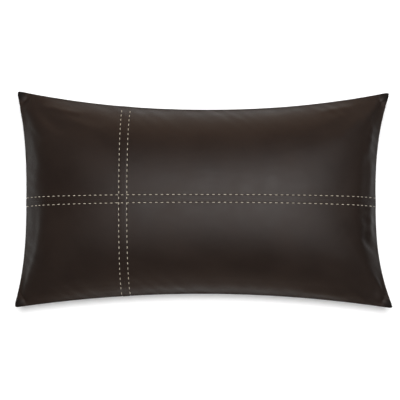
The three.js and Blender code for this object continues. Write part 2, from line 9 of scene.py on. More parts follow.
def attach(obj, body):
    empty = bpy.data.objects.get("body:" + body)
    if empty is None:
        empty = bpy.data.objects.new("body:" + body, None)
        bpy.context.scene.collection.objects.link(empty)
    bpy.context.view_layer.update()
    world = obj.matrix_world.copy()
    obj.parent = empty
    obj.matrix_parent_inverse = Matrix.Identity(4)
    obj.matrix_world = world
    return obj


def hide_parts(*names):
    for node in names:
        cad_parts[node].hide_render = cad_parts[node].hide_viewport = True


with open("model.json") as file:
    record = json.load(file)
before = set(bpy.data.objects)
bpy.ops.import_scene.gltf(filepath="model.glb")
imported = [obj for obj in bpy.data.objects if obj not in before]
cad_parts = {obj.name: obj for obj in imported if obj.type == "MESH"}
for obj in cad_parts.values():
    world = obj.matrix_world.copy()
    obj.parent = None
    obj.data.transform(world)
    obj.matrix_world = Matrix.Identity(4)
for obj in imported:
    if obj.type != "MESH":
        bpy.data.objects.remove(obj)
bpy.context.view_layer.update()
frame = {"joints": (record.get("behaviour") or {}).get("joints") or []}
bpy.ops.object.select_all(action="DESELECT")


# ---- The stuffed cover, before it is cut into panels ----
# Two layers of leather sewn together round the edge and filled until they crown. The outline pulls in between
# the four corners, least along the zipped edge. The edge seam is held while cloth simulation fills the layers
# and lets the spare leather pucker along it, and the panels further down are laid out on the result.
CORNER_TOP_LEFT = (-0.3130, 0.1882)
CORNER_TOP_RIGHT = (0.3205, 0.1857)
CORNER_BOTTOM_LEFT_X = -0.3150
CORNER_BOTTOM_RIGHT_X = 0.3235
LEFT_MIDDLE_X = -0.2952
RIGHT_MIDDLE_X = 0.2946
TOP_SAG = 0.031
BOTTOM_MIDDLE_Y = -0.1553
ZIP_ARC_RADIUS = 2.125
SEAM_X = -0.1257
SEAM_Y = 0.001
CORNER_RADIUS = 0.0085
HALF_WIDTH = 0.30
HALF_HEIGHT = 0.170
SIDE_PULL_POWER = 2.7
TOP_PULL_POWER = 2.1
SEAM_LIFT = 0.0003
SEAM_BOW = 0.0032

slider_joint = next(joint for joint in frame["joints"] if joint["name"] == "slider_travel")
ARC_CENTRE = Vector(slider_joint["pos_m"])
SEAM_Z = ARC_CENTRE.z
SHIFT_X = ARC_CENTRE.x
SHIFT_Y = ARC_CENTRE.y + ZIP_ARC_RADIUS - BOTTOM_MIDDLE_Y


def left_x(v):
    corner = np.where(v > 0, CORNER_TOP_LEFT[0], CORNER_BOTTOM_LEFT_X)
    return LEFT_MIDDLE_X + (corner - LEFT_MIDDLE_X) * np.abs(v) ** SIDE_PULL_POWER


def right_x(v):
    corner = np.where(v > 0, CORNER_TOP_RIGHT[0], CORNER_BOTTOM_RIGHT_X)
    return RIGHT_MIDDLE_X + (corner - RIGHT_MIDDLE_X) * np.abs(v) ** SIDE_PULL_POWER


def top_y(x):
    t = (x - CORNER_TOP_LEFT[0]) / (CORNER_TOP_RIGHT[0] - CORNER_TOP_LEFT[0])
    chord = CORNER_TOP_LEFT[1] + (CORNER_TOP_RIGHT[1] - CORNER_TOP_LEFT[1]) * t
    return chord - TOP_SAG * (1 - np.abs(np.clip(2 * t - 1, -1, 1)) ** TOP_PULL_POWER)


def bottom_y(x):
    return BOTTOM_MIDDLE_Y - ZIP_ARC_RADIUS + np.sqrt(ZIP_ARC_RADIUS**2 - x * x)


def seam_y(x):
    """The level seam, which the filling bows up a little in the middle."""
    return SEAM_Y + SEAM_LIFT - SEAM_BOW * np.clip(np.abs(x) / HALF_WIDTH, 0, 1) ** 2


def plan(u, v):
    """Where the point u (0 to 1 across) and v (-1 to 1 up) lies in plan, with the corners blunted."""
    left, right = left_x(v), right_x(v)
    x = left + (right - left) * u
    level = seam_y(x)
    y = np.where(v > 0, level + (top_y(x) - level) * v, level + (level - bottom_y(x)) * v)
    toward_x, toward_y = np.sign(u - 0.5), np.sign(v)
    tip_x = np.where(u > 0.5, right_x(toward_y), left_x(toward_y)) * 1.002
    tip_y = np.where(v > 0, top_y(x), bottom_y(x))
    in_x = CORNER_RADIUS - (tip_x - x) * toward_x
    in_y = CORNER_RADIUS - (tip_y - y) * toward_y
    rounded = (in_x > 0) & (in_y > 0)
    squeeze = np.maximum(in_x, in_y) / np.maximum(np.hypot(in_x, in_y), 1e-9)
    x = np.where(rounded, x + (in_x * squeeze - in_x) * toward_x, x)
    y = np.where(rounded, y + (in_y * squeeze - in_y) * toward_y, y)
    return x, y


MOUTH_HALF = 0.00185
MOUTH_FULL_X = 0.258
MOUTH_FADE = 0.026
MOUTH_DEPTH = 0.020


def mouth(x, s):
    """Half the gap that the zip holds open in the bottom seam, s in from the edge."""
    t = np.clip((np.abs(x) - MOUTH_FULL_X) / MOUTH_FADE, 0, 1)
    return MOUTH_HALF * (1 - t * t * (3 - 2 * t)) * np.clip(1 - s / MOUTH_DEPTH, 0, 1)


FRONT_CROWN = 0.095
BACK_CROWN = 0.080
CROWN_POWER = (3, 2.2)
CROWN_ROUNDNESS = (0.58, 0.6)
FLATTEN_BLEND = 0.008
EDGE_HALF_THICKNESS = 0.00145


def fullness(u, v):
    """How full the filling is, from nothing at the edge seam to 1 in the middle."""
    across = np.clip(1 - np.abs(2 * u - 1) ** CROWN_POWER[0], 0, 1) ** CROWN_ROUNDNESS[0]
    return across * np.clip(1 - np.abs(v) ** CROWN_POWER[1], 0, 1) ** CROWN_ROUNDNESS[1]


def smallest(a, b, blend):
    """The smaller of two values, rounded where they cross."""
    return np.minimum(a, b) - np.maximum(blend - np.abs(a - b), 0) ** 2 / (4 * blend)


def designed_layer(u, v, side):
    """The front (side 1) or back (side -1) layer as drawn, before the filling puckers it."""
    x, y = plan(u, v)
    rise = EDGE_HALF_THICKNESS + mouth(x, y - bottom_y(x))
    rise = rise + (FRONT_CROWN if side > 0 else BACK_CROWN) * fullness(u, v)
    if side < 0:
        rise = smallest(rise, SEAM_Z, FLATTEN_BLEND)
    return np.stack([x + SHIFT_X, y + SHIFT_Y, SEAM_Z + side * rise], -1)


# The layers' own lattice is closer towards the edges, where the leather turns steeply
LAYER_COLUMNS = 156
LAYER_ROWS = 88
SETTLING_FRAMES = 20
LARGEST_MOVE = 0.007
layer_s, layer_t = np.meshgrid(
    np.arange(LAYER_COLUMNS + 1) / LAYER_COLUMNS, np.arange(LAYER_ROWS + 1) / LAYER_ROWS, indexing="ij"
)
layer_u = 0.5 - 0.5 * np.cos(math.pi * layer_s)
layer_v = -np.cos(math.pi * layer_t)
layers = {side: designed_layer(layer_u, layer_v, side) for side in (1, -1)}

columns, rows = LAYER_COLUMNS + 1, LAYER_ROWS + 1
index = np.arange(columns * rows).reshape(columns, rows)
faces = np.stack([index[:-1, :-1], index[1:, :-1], index[1:, 1:], index[:-1, 1:]], -1).reshape(-1, 4)
faces = np.vstack([faces, faces[:, ::-1] + columns * rows])
points = np.vstack([layers[1].reshape(-1, 3), layers[-1].reshape(-1, 3)])
filled = bpy.data.meshes.new("filled_layers")
filled.from_pydata(points.tolist(), [], faces.tolist())
filled_object = bpy.data.objects.new("filled_layers", filled)
bpy.context.scene.collection.objects.link(filled_object)
rim = np.zeros((columns, rows), bool)
rim[[0, -1], :] = True
rim[:, [0, -1]] = True
held = filled_object.vertex_groups.new(name="held")
held.add(np.flatnonzero(np.concatenate([rim.ravel(), rim.ravel()])).tolist(), 1.0, "REPLACE")
cloth = filled_object.modifiers.new("Cloth", "CLOTH")
leather_like = {"quality": 6, "mass": 0.35, "tension_stiffness": 30, "compression_stiffness": 30}
leather_like |= {"shear_stiffness": 12, "bending_stiffness": 1.2, "air_damping": 4, "shrink_min": -0.028}
filled_up = {"use_pressure": True, "uniform_pressure_force": 3.5}
for name, value in (leather_like | filled_up).items():
    setattr(cloth.settings, name, value)
cloth.settings.vertex_group_mass = "held"
cloth.settings.pin_stiffness = 1
cloth.settings.effector_weights.gravity = 0
cloth.collision_settings.use_collision = False
cloth.point_cache.frame_start, cloth.point_cache.frame_end = 1, SETTLING_FRAMES
for number in range(1, SETTLING_FRAMES + 1):
    bpy.context.scene.frame_set(number)
evaluated = filled_object.evaluated_get(bpy.context.evaluated_depsgraph_get())
moved = np.empty(len(points) * 3)
evaluated.data.vertices.foreach_get("co", moved)
moved = moved.reshape(-1, 3) - points
length = np.linalg.norm(moved, axis=1, keepdims=True)
moved *= LARGEST_MOVE * np.tanh(length / LARGEST_MOVE) / np.maximum(length, 1e-9)
moved = moved.reshape(2, columns, rows, 3)
# Thick leather has no creases finer than a few lattice steps
for _ in range(5):
    moved[:, 1:-1] = (moved[:, :-2] + 2 * moved[:, 1:-1] + moved[:, 2:]) / 4
    moved[:, :, 1:-1] = (moved[:, :, :-2] + 2 * moved[:, :, 1:-1] + moved[:, :, 2:]) / 4
# The middle is stretched tight over the filling, so only the edges and the corners keep their puckers
from_side = 2 * HALF_WIDTH * np.minimum(layer_u, 1 - layer_u)
from_end = HALF_HEIGHT * (1 - np.abs(layer_v))
near_edge = np.exp(-((np.minimum(from_side, from_end) / 0.045) ** 2))
near_corner = np.exp(-((np.hypot(from_side, from_end) / 0.11) ** 2))
loose = np.maximum(0.6 * near_edge, 0.75 * near_corner)[..., None]
layers = {1: layers[1] + moved[0] * loose, -1: layers[-1] + moved[1] * loose}
bpy.data.objects.remove(filled_object, do_unlink=True)
bpy.context.scene.frame_set(1)
layers[-1][..., 2] = np.maximum(layers[-1][..., 2], 0.0)


def lattice_normals(points, side):
    """Unit normals of a layer's lattice, facing out of the cover."""
    across, up = np.gradient(points, axis=0), np.gradient(points, axis=1)
    normal = np.cross(across, up) * side
    return normal / np.maximum(np.linalg.norm(normal, axis=-1, keepdims=True), 1e-12)


layer_normals = {side: lattice_normals(layers[side], side) for side in (1, -1)}
# Right at the edge the lattice is too fine to give a direction, so the one a millimetre in is used
for normal in layer_normals.values():
    normal[:4], normal[-4:] = normal[4], normal[-5]
    normal[:, :3], normal[:, -3:] = normal[:, 3:4], normal[:, -4:-3]


def cubic_weights(t):
    """Weights of the four lattice points round a place that is t of the way from the second to the third."""
    return (
        -0.5 * t + t**2 - 0.5 * t**3,
        1 - 2.5 * t**2 + 1.5 * t**3,
        0.5 * t + 2 * t**2 - 1.5 * t**3,
        -0.5 * t**2 + 0.5 * t**3,
    )


def sample(field, u, v):
    """The field's value at u, v, by cubic interpolation on the layers' lattice."""
    a = np.arccos(np.clip(1 - 2 * u, -1, 1)) / math.pi * LAYER_COLUMNS
    b = np.arccos(np.clip(-v, -1, 1)) / math.pi * LAYER_ROWS
    i = np.clip(np.floor(a).astype(int), 0, LAYER_COLUMNS - 1)
    j = np.clip(np.floor(b).astype(int), 0, LAYER_ROWS - 1)
    total = 0
    for m, wa in enumerate(cubic_weights(a - i)):
        for n, wb in enumerate(cubic_weights(b - j)):
            ii = np.clip(i + m - 1, 0, LAYER_COLUMNS)
            jj = np.clip(j + n - 1, 0, LAYER_ROWS)
            total = total + field[ii, jj] * (wa * wb)[..., None]
    return total


# ---- Leather panels: four on the front, one on the back ----
# Smooth cowhide about a millimetre thick. Each panel's edges are turned under and its seam allowance lies
# flat against its inside, so panels meet fold to fold, with the front's seams pressed open under two rows
# of stitches.
LEATHER = 0.0011
LEFT_WIDTH = 0.182
RIGHT_WIDTH = 0.432
BACK_STEP = 0.003
ROW_OFFSET = 0.0068
STITCH_PITCH = 0.0094
HOLE_PITCH = STITCH_PITCH / 2
PANEL_STEP = HOLE_PITCH / 3

# Lines beside a seam and beside the outer edge, each (way in from the edge, depth under the face, and on the
# outer edge's roll the inset and height of the fold)
SEAM_FOLD = [(0.0095, 0.0027), (0.0015, 0.0027), (0.0003, 0.0023), (0.00003, 0.0016), (0.00001, 0.0008)]
SEAM_FOLD += [(0.00001, 0.00005)]
SEAM_FOLD += [(d, 0) for d in (0.00006, 0.00016, 0.0010, 0.0024, 0.0040, 0.0054)]
SEAM_FOLD += [(d, 0) for d in (0.0061, 0.0068, 0.0075, 0.0084, 0.0098, 0.0114)]
EDGE_FOLD = [(0.0100, 0.0027), (0.0015, 0.0027)]
EDGE_ROLL = [(0.0026, 0.0003), (0.0015, 0.0002), (0.0007, 0.0004), (0.00025, 0.0009)]
EDGE_FACE = [0, 0.0005, 0.0012, 0.0022, 0.0035, 0.0052, 0.0072, 0.0094]


def panel_lines(length, start_is_seam, end_is_seam, step, run=0.0):
    """Distances across a panel with the depth, inset and height of its turned edges, from start to end.

    The lines between fall on the needle holes of a row whose stitches are counted from run before the panel.
    """

    def edge(is_seam):
        if is_seam:
            return [(d, depth, 0, 0) for d, depth in SEAM_FOLD]
        lines = [(d, depth, 0, 0) for d, depth in EDGE_FOLD]
        lines += [(0, 0, inset, height) for inset, height in EDGE_ROLL]
        return lines + [(d, 0, 0, 0) for d in EDGE_FACE]

    start, end = edge(start_is_seam), edge(end_is_seam)
    first = math.ceil((run + start[-1][0]) / step + 0.4)
    last = math.floor((run + length - end[-1][0]) / step - 0.4)
    middle = np.arange(first, last + 1) * step - run
    rows = start + [(d, 0, 0, 0) for d in middle] + [(length - d, *rest) for d, *rest in reversed(end)]
    return np.array(rows)


# Soft folds pressed into the leather, each (from x, y, to x, y, width, height), in the front's plan
FRONT_FOLDS = [
    (-0.300, 0.165, -0.235, 0.118, 0.011, -0.0016),
    (-0.296, 0.150, -0.262, 0.098, 0.008, 0.0012),
    (-0.262, 0.158, -0.205, 0.146, 0.005, 0.0011),
    (-0.232, 0.150, -0.170, 0.128, 0.009, -0.0009),
    (0.306, 0.160, 0.252, 0.104, 0.012, -0.0016),
    (0.250, 0.158, 0.205, 0.150, 0.005, 0.0010),
    (0.285, 0.130, 0.279, 0.080, 0.006, 0.0012),
    (0.283, 0.062, 0.280, 0.014, 0.007, 0.0016),
    (0.281, -0.012, 0.282, -0.062, 0.006, 0.0014),
    (0.287, -0.080, 0.270, -0.064, 0.006, -0.0015),
    (0.308, -0.158, 0.250, -0.106, 0.012, -0.0015),
    (-0.302, -0.158, -0.246, -0.112, 0.012, -0.0015),
    (-0.284, 0.118, -0.268, 0.104, 0.006, -0.0014),
    (0.236, -0.160, 0.176, -0.152, 0.006, 0.0012),
]


def folds_at(x, y, folds):
    """How far the soft folds push the leather out or in."""
    total = np.zeros_like(x)
    for x0, y0, x1, y1, width, height in folds:
        along = np.array([x1 - x0, y1 - y0])
        t = ((x - x0) * along[0] + (y - y0) * along[1]) / (along @ along)
        nearest = np.clip(t, 0, 1)
        away = np.hypot(x - x0 - nearest * along[0], y - y0 - nearest * along[1])
        fade = np.clip(1.15 - 1.3 * np.abs(nearest - 0.5) ** 1.5, 0, 1)
        total = total + height * fade * np.exp(-((away / width) ** 2))
    return total


def edge_puckers(x, y, from_edge, side):
    """Small gathers that the edge seam draws into the leather, uneven in pitch and strength."""
    t = x + y * 1.31 + 0.4 * side
    fine = np.sin(t * 480 + 3 * np.sin(t * 61)) * np.exp(-from_edge / 0.007)
    broad = np.sin(t * 171 + 2.2 * np.sin(t * 37 + 1)) * np.exp(-from_edge / 0.019)
    uneven = 0.55 + 0.45 * np.sin(t * 23 + 0.7) * np.sin(t * 9 + 2)
    return (0.00032 * fine + 0.0008 * broad) * uneven * (1 - np.exp(-from_edge / 0.0015))


KNOB_INSET = 0.0055


def from_knobs(x, y):
    """How far each point is from the middle of the nearest corner's knob."""
    tips = [CORNER_TOP_LEFT, CORNER_TOP_RIGHT]
    tips += [(cx, float(bottom_y(np.array(cx)))) for cx in (CORNER_BOTTOM_LEFT_X, CORNER_BOTTOM_RIGHT_X)]
    inset = KNOB_INSET * np.sign(tips)
    away = [np.hypot(x - cx + dx, y - cy + dy) for (cx, cy), (dx, dy) in zip(tips, inset)]
    return np.min(away, axis=0)


def corner_knobs(x, y):
    """Each corner is stuffed into a small hard knob with a crease behind it."""
    away = from_knobs(x, y)
    knob = 0.0046 * np.exp(-((away / 0.0074) ** 2))
    return knob - 0.0026 * np.exp(-(((away - 0.0155) / 0.0045) ** 2))


def lay_out(u, v, side, depth=0.0, extra=0.0):
    """Points a depth under the stuffed face at u, v, kept on their own side of the edge seam."""
    point, normal = sample(layers[side], u, v), sample(layer_normals[side], u, v)
    normal = normal / np.linalg.norm(normal, axis=-1, keepdims=True)
    x, y = point[..., 0] - SHIFT_X, point[..., 1] - SHIFT_Y
    from_edge = np.minimum(
        np.minimum(x - left_x(v), right_x(v) - x), np.minimum(top_y(x) - y, y - bottom_y(x))
    ).clip(0)
    raised = edge_puckers(x, y, from_edge, side)
    if side > 0:
        raised = raised + folds_at(x, y, FRONT_FOLDS)
    raised = raised * np.clip(from_edge / 0.002, 0, 1) + extra
    height = (point[..., 2] - SEAM_Z) * side
    out = point + normal * (raised - depth)[..., None]
    out[..., 2] += side * corner_knobs(x, y) * np.clip(from_edge / 0.005, 0, 1)
    kept = 0.00015 + 0.25 * (height - 0.00015) * (1 - depth / 0.012)
    out[..., 2] = SEAM_Z + side * np.maximum((out[..., 2] - SEAM_Z) * side, kept)
    out[..., 2] = np.maximum(out[..., 2], depth if side < 0 else 0)
    return out, normal, from_edge


def stitch_groove(from_seam, along):
    """The groove that the topstitching pulls into the leather, deepest at each needle hole."""
    hole = (0.5 + 0.5 * np.cos(along / HOLE_PITCH * 2 * math.pi)) ** 2
    return -(0.00022 + 0.0005 * hole) * np.exp(-(((from_seam - ROW_OFFSET) / 0.0010) ** 2))


def vertex_places(piece):
    place = np.empty(len(piece.data.vertices) * 3)
    piece.data.vertices.foreach_get("co", place)
    return place.reshape(-1, 3)


def new_grid(name, columns, rows):
    """A grid, and the column and the row of each of its vertices."""
    bpy.ops.mesh.primitive_grid_add(x_subdivisions=columns, y_subdivisions=rows, size=1)
    piece = bpy.context.object
    piece.name = piece.data.name = name
    local = vertex_places(piece)
    i = np.rint((local[:, 0] + 0.5) * columns).astype(int)
    j = np.rint((local[:, 1] + 0.5) * rows).astype(int)
    return piece, i, j


def panel(name, columns, rows, to_uv, side, seams):
    """A panel laid out on one side of the cover from its lines, turned edges and all."""
    piece, i, j = new_grid(name, len(columns) - 1, len(rows) - 1)
    line_x, line_y = columns[i], rows[j]
    depth = np.maximum(line_x[:, 1], line_y[:, 1])
    dx, dy = line_x[:, 0], line_y[:, 0]
    u, v = to_uv(dx, dy)
    extra = np.zeros_like(u)
    for kind, seam_at, run in seams:
        from_seam, along = (np.abs(dx - seam_at), dy) if kind == "upright" else (np.abs(dy - seam_at), dx)
        extra += stitch_groove(from_seam, along + run) + 0.0003 * np.exp(-((from_seam / 0.0095) ** 6))
    place, _, from_edge = lay_out(u, v, side, depth, np.where(depth > 0, 0, extra))
    inset = np.maximum(line_x[:, 2], line_y[:, 2])
    roll_x, roll_y = line_x[:, 3], line_y[:, 3]
    rolled = (roll_x > 0) | (roll_y > 0)
    both = (roll_x > 0) & (roll_y > 0)
    height = np.where(both, np.minimum(roll_x, roll_y), np.maximum(roll_x, roll_y))
    inward = np.stack([np.where(roll_x > 0, np.sign(0.5 - u), 0), np.where(roll_y > 0, -np.sign(v), 0)], -1)
    inward = inward / np.maximum(np.linalg.norm(inward, axis=-1, keepdims=True), 1)
    x, y = place[:, 0] - SHIFT_X, place[:, 1] - SHIFT_Y
    held_open = mouth(x, y - bottom_y(x))
    place[rolled, :2] += (inward * inset[:, None])[rolled]
    place[rolled, 2] = (SEAM_Z + side * (held_open + height))[rolled]
    piece.data.vertices.foreach_set("co", place.ravel())
    # The knob mark is where the leather material paints shade on the corner knobs.
    marks = {"edge": np.exp(-from_edge / 0.006), "knob": np.exp(-((from_knobs(x, y) / 0.0105) ** 4))}
    for mark, strength in marks.items():
        attribute = piece.data.attributes.new(mark, "FLOAT", "POINT")
        attribute.data.foreach_set("value", strength.astype(np.float32))
    if side < 0:
        piece.data.flip_normals()
    piece.data.update()
    return piece


def select(*pieces):
    """Selects only these, with the first active."""
    bpy.ops.object.select_all(action="DESELECT")
    for piece in pieces:
        piece.select_set(True)
    if pieces:
        bpy.context.view_layer.objects.active = pieces[0]


def thicken(piece, thickness):
    """Gives a laid-out panel its thickness on the inside, and smooth shading."""
    select(piece)
    solid = piece.modifiers.new("Thickness", "SOLIDIFY")
    solid.thickness = thickness
    solid.offset = -1
    solid.use_rim = True
    bpy.ops.object.modifier_apply(modifier=solid.name)
    bpy.ops.object.shade_smooth_by_angle(angle=math.radians(60))
    select()


def round_corners(piece):
    """Keeps the turned edges inside the rounded corners, where the hide is folded on itself several times."""
    place = vertex_places(piece)
    for toward_x in (-1.0, 1.0):
        for toward_y in (-1.0, 1.0):
            tip_x = float((right_x if toward_x > 0 else left_x)(np.array(toward_y)))
            tip_y = float((top_y if toward_y > 0 else bottom_y)(np.array(tip_x)))
            arc_x = tip_x + SHIFT_X - toward_x * CORNER_RADIUS
            arc_y = tip_y + SHIFT_Y - toward_y * CORNER_RADIUS
            off = place[:, :2] - [arc_x, arc_y]
            reach = np.hypot(off[:, 0], off[:, 1])
            outside = (off[:, 0] * toward_x > 0) & (off[:, 1] * toward_y > 0)
            far = outside & (reach > CORNER_RADIUS)
            place[far, :2] += off[far] * (CORNER_RADIUS / reach[far] - 1)[:, None]
            highest = 0.0017 + 1.2 * np.maximum(CORNER_RADIUS - reach, 0)
            place[outside, 2] = np.clip(place[:, 2], SEAM_Z - highest, SEAM_Z + highest)[outside]
    piece.data.vertices.foreach_set("co", place.ravel())
    piece.data.update()


def seam_share(v):
    """Where the upright seam lies between the left edge and the right one."""
    left, right = left_x(v), right_x(v)
    return (SEAM_X - left) / (right - left)


def front_uv(across, up):
    """Distances along the front from its left edge and its bottom edge, turned into the cover's u and v."""
    across, up = np.broadcast_arrays(across, up)
    v = up / HALF_HEIGHT - 1
    share = seam_share(v)
    left = across / LEFT_WIDTH * share
    right = 1 - (1 - (across - LEFT_WIDTH) / RIGHT_WIDTH) * (1 - share)
    return np.where(across < LEFT_WIDTH, left, right), v


def put(tree, kind, inputs=None, **settings):
    """A shader node with its settings, and its inputs set to values or linked from other nodes' outputs."""
    node = tree.nodes.new(kind)
    for key, value in settings.items():
        setattr(node, key, value)
    for key, value in (inputs or {}).items():
        if isinstance(value, bpy.types.NodeSocket):
            tree.links.new(value, node.inputs[key])
        else:
            node.inputs[key].default_value = value
    return node


def math_node(tree, operation, first, second=0.5, clamp=False):
    return put(tree, "ShaderNodeMath", {0: first, 1: second}, operation=operation, use_clamp=clamp).outputs[0]


def colour_mix(tree, factor, first, second, blend="MIX"):
    node = tree.nodes.new("ShaderNodeMix")
    node.data_type, node.blend_type = "RGBA", blend
    for socket, value in ((node.inputs[0], factor), (node.inputs[6], first), (node.inputs[7], second)):
        if isinstance(value, bpy.types.NodeSocket):
            tree.links.new(value, socket)
        else:
            socket.default_value = value
    return node.outputs[2]


def remap(tree, value, low, high, to_low=0.0, to_high=1.0):
    inputs = {0: value, 1: low, 2: high, 3: to_low, 4: to_high}
    return put(tree, "ShaderNodeMapRange", inputs, clamp=True).outputs[0]


def noise(tree, vector, scale, detail=2.0, roughness=0.5, distortion=0.0):
    inputs = {"Vector": vector, "Scale": scale, "Detail": detail, "Roughness": roughness}
    inputs["Distortion"] = distortion
    return put(tree, "ShaderNodeTexNoise", inputs).outputs[0]


def new_finish(name, roughness, **constants):
    """A material with its Principled BSDF's plain values set."""
    finish = bpy.data.materials.new(name)
    finish.use_nodes = True
    shader = finish.node_tree.nodes["Principled BSDF"]
    shader.inputs["Roughness"].default_value = roughness
    for key, value in constants.items():
        shader.inputs[key.replace("_", " ")].default_value = value
    return finish, finish.node_tree, shader


def relief(tree, shader, height, strength, distance):
    """Raises the surface by a height, without changing its outline."""
    bump = put(tree, "ShaderNodeBump", {"Height": height, "Strength": strength, "Distance": distance})
    tree.links.new(bump.outputs[0], shader.inputs["Normal"])


def complete(piece, finish, node, body="cushion"):
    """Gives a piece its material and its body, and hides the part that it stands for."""
    piece.data.materials.clear()
    piece.data.materials.append(finish)
    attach(piece, body)
    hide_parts(node)


hide, tree, shader = new_finish("espresso_cowhide", 0.45, Specular_IOR_Level=0.27)
place = put(tree, "ShaderNodeTexCoord").outputs["Object"]
wander = put(tree, "ShaderNodeTexNoise", {"Vector": place, "Scale": 260.0, "Detail": 2.0}).outputs["Color"]
bent = put(tree, "ShaderNodeVectorMath", {0: wander, "Scale": 0.0009}, operation="SCALE").outputs[0]
bent = put(tree, "ShaderNodeVectorMath", {0: place, 1: bent}, operation="ADD").outputs[0]
pebbles = put(tree, "ShaderNodeTexVoronoi", {"Vector": bent, "Scale": 820.0}, feature="DISTANCE_TO_EDGE")
furrows = remap(tree, pebbles.outputs[0], 0.0, 0.22)
pores = remap(tree, noise(tree, place, 2600.0, 2.0, 0.6), 0.30, 0.55)
creasing = noise(tree, place, 95.0, 3.0, 0.55, 0.6)
height = math_node(tree, "MULTIPLY", furrows, 0.55)
height = math_node(tree, "ADD", height, math_node(tree, "MULTIPLY", pores, 0.25))
height = math_node(tree, "ADD", height, math_node(tree, "MULTIPLY", creasing, 1.3))
relief(tree, shader, height, 0.5, 0.00016)
cloudy = remap(tree, noise(tree, place, 13.0, 4.0, 0.6), 0.34, 0.68)
blotchy = remap(tree, noise(tree, place, 60.0, 4.0, 0.62), 0.38, 0.66)
dye_and_shade = colour_mix(tree, cloudy, (0.0124, 0.0070, 0.0050, 1), (0.0170, 0.0098, 0.0069, 1))
dye_and_shade = colour_mix(tree, math_node(tree, "MULTIPLY", blotchy, 0.35), dye_and_shade, (0.0152, 0.0096, 0.0073, 1))
# Lighter, warmer colour within a few millimetres of the outer edge, broken up by noise.
rim = put(tree, "ShaderNodeAttribute", attribute_name="edge").outputs["Fac"]
lighter_edge = math_node(tree, "MULTIPLY", rim, remap(tree, noise(tree, place, 210.0, 3.0), 0.35, 0.75), clamp=True)
dye_and_shade = colour_mix(tree, math_node(tree, "MULTIPLY", lighter_edge, 0.45), dye_and_shade, (0.046, 0.028, 0.019, 1))
# Painted shade: the colour is darkened nearly to black on the corner knobs, where the folded leather turns
# away from the light. The knobs are also made rougher further down.
knob = put(tree, "ShaderNodeAttribute", attribute_name="knob").outputs["Fac"]
dye_and_shade = colour_mix(tree, math_node(tree, "MULTIPLY", knob, 0.85), dye_and_shade, (0.0035, 0.0022, 0.0017, 1))
furrow_dark = remap(tree, furrows, 0.0, 1.0, 0.86, 1.0)
shade = put(tree, "ShaderNodeCombineColor", {0: furrow_dark, 1: furrow_dark, 2: furrow_dark}).outputs[0]
dye_and_shade = colour_mix(tree, 1.0, dye_and_shade, shade, "MULTIPLY")
tree.links.new(dye_and_shade, shader.inputs["Base Color"])
gloss = remap(tree, cloudy, 0.0, 1.0, 0.47, 0.55)
gloss = math_node(tree, "SUBTRACT", gloss, math_node(tree, "MULTIPLY", blotchy, 0.04))
gloss = math_node(tree, "ADD", gloss, math_node(tree, "MULTIPLY", rim, 0.32))
gloss = math_node(tree, "ADD", gloss, math_node(tree, "MULTIPLY", knob, 0.25))
tree.links.new(gloss, shader.inputs["Roughness"])

FRONT_PANELS = {
    "front_panel_upper_left": (-1, 1),
    "front_panel_upper_right": (1, 1),
    "front_panel_lower_left": (-1, -1),
    "front_panel_lower_right": (1, -1),
}
for name, (side_x, side_y) in FRONT_PANELS.items():
    width = LEFT_WIDTH if side_x < 0 else RIGHT_WIDTH
    before_x, before_y = LEFT_WIDTH if side_x > 0 else 0, HALF_HEIGHT if side_y > 0 else 0
    columns = panel_lines(width, side_x > 0, side_x < 0, PANEL_STEP, before_x)
    rows = panel_lines(HALF_HEIGHT, side_y > 0, side_y < 0, PANEL_STEP, before_y)
    seams = [
        ("upright", width if side_x < 0 else 0, before_y),
        ("level", HALF_HEIGHT if side_y < 0 else 0, before_x),
    ]
    piece = panel(
        name + "_hide", columns, rows, lambda dx, dy: front_uv(dx + before_x, dy + before_y), 1, seams
    )
    thicken(piece, LEATHER)
    round_corners(piece)
    complete(piece, hide, name)

BACK_WIDTH = LEFT_WIDTH + RIGHT_WIDTH
back_columns = panel_lines(BACK_WIDTH, False, False, BACK_STEP)
back_rows = panel_lines(2 * HALF_HEIGHT, False, False, BACK_STEP)
back = panel(
    "back_panel_hide", back_columns, back_rows,
    lambda dx, dy: (dx / BACK_WIDTH, -1 + dy / HALF_HEIGHT), -1, [],
)
thicken(back, LEATHER)
round_corners(back)
complete(back, hide, "back_panel")


# ---- Topstitching: two rows beside each seam of the front ----
# Thick three-ply cream thread in long stitches, 6.8 mm out on either side of the seam, drawn tight enough
# to sink into the leather a little. The level rows were sewn last and ride over the upright ones.
THREAD_RADIUS = 0.00052
POINTS_PER_STITCH = 14
CROSSING_LIFT = 0.0009
ROW_END = 0.0014


def thread_heights(along, over):
    """The thread's height over the leather: up and over for one hole's pitch, then under for the next."""
    phase = (along / STITCH_PITCH) % 1.0
    above = np.sin(np.clip(phase, 0, 0.5) * 2 * math.pi)
    below = np.sin(np.clip(phase - 0.5, 0, 0.5) * 2 * math.pi)
    height = -0.0014 + 0.00175 * np.clip(above * 1.35, 0, 1) + over
    return height - 0.0011 * np.clip(below * 3.2, 0, 1) ** 0.8


def lengths_along(points):
    return np.concatenate([[0], np.cumsum(np.linalg.norm(np.diff(points, axis=0), axis=1))])


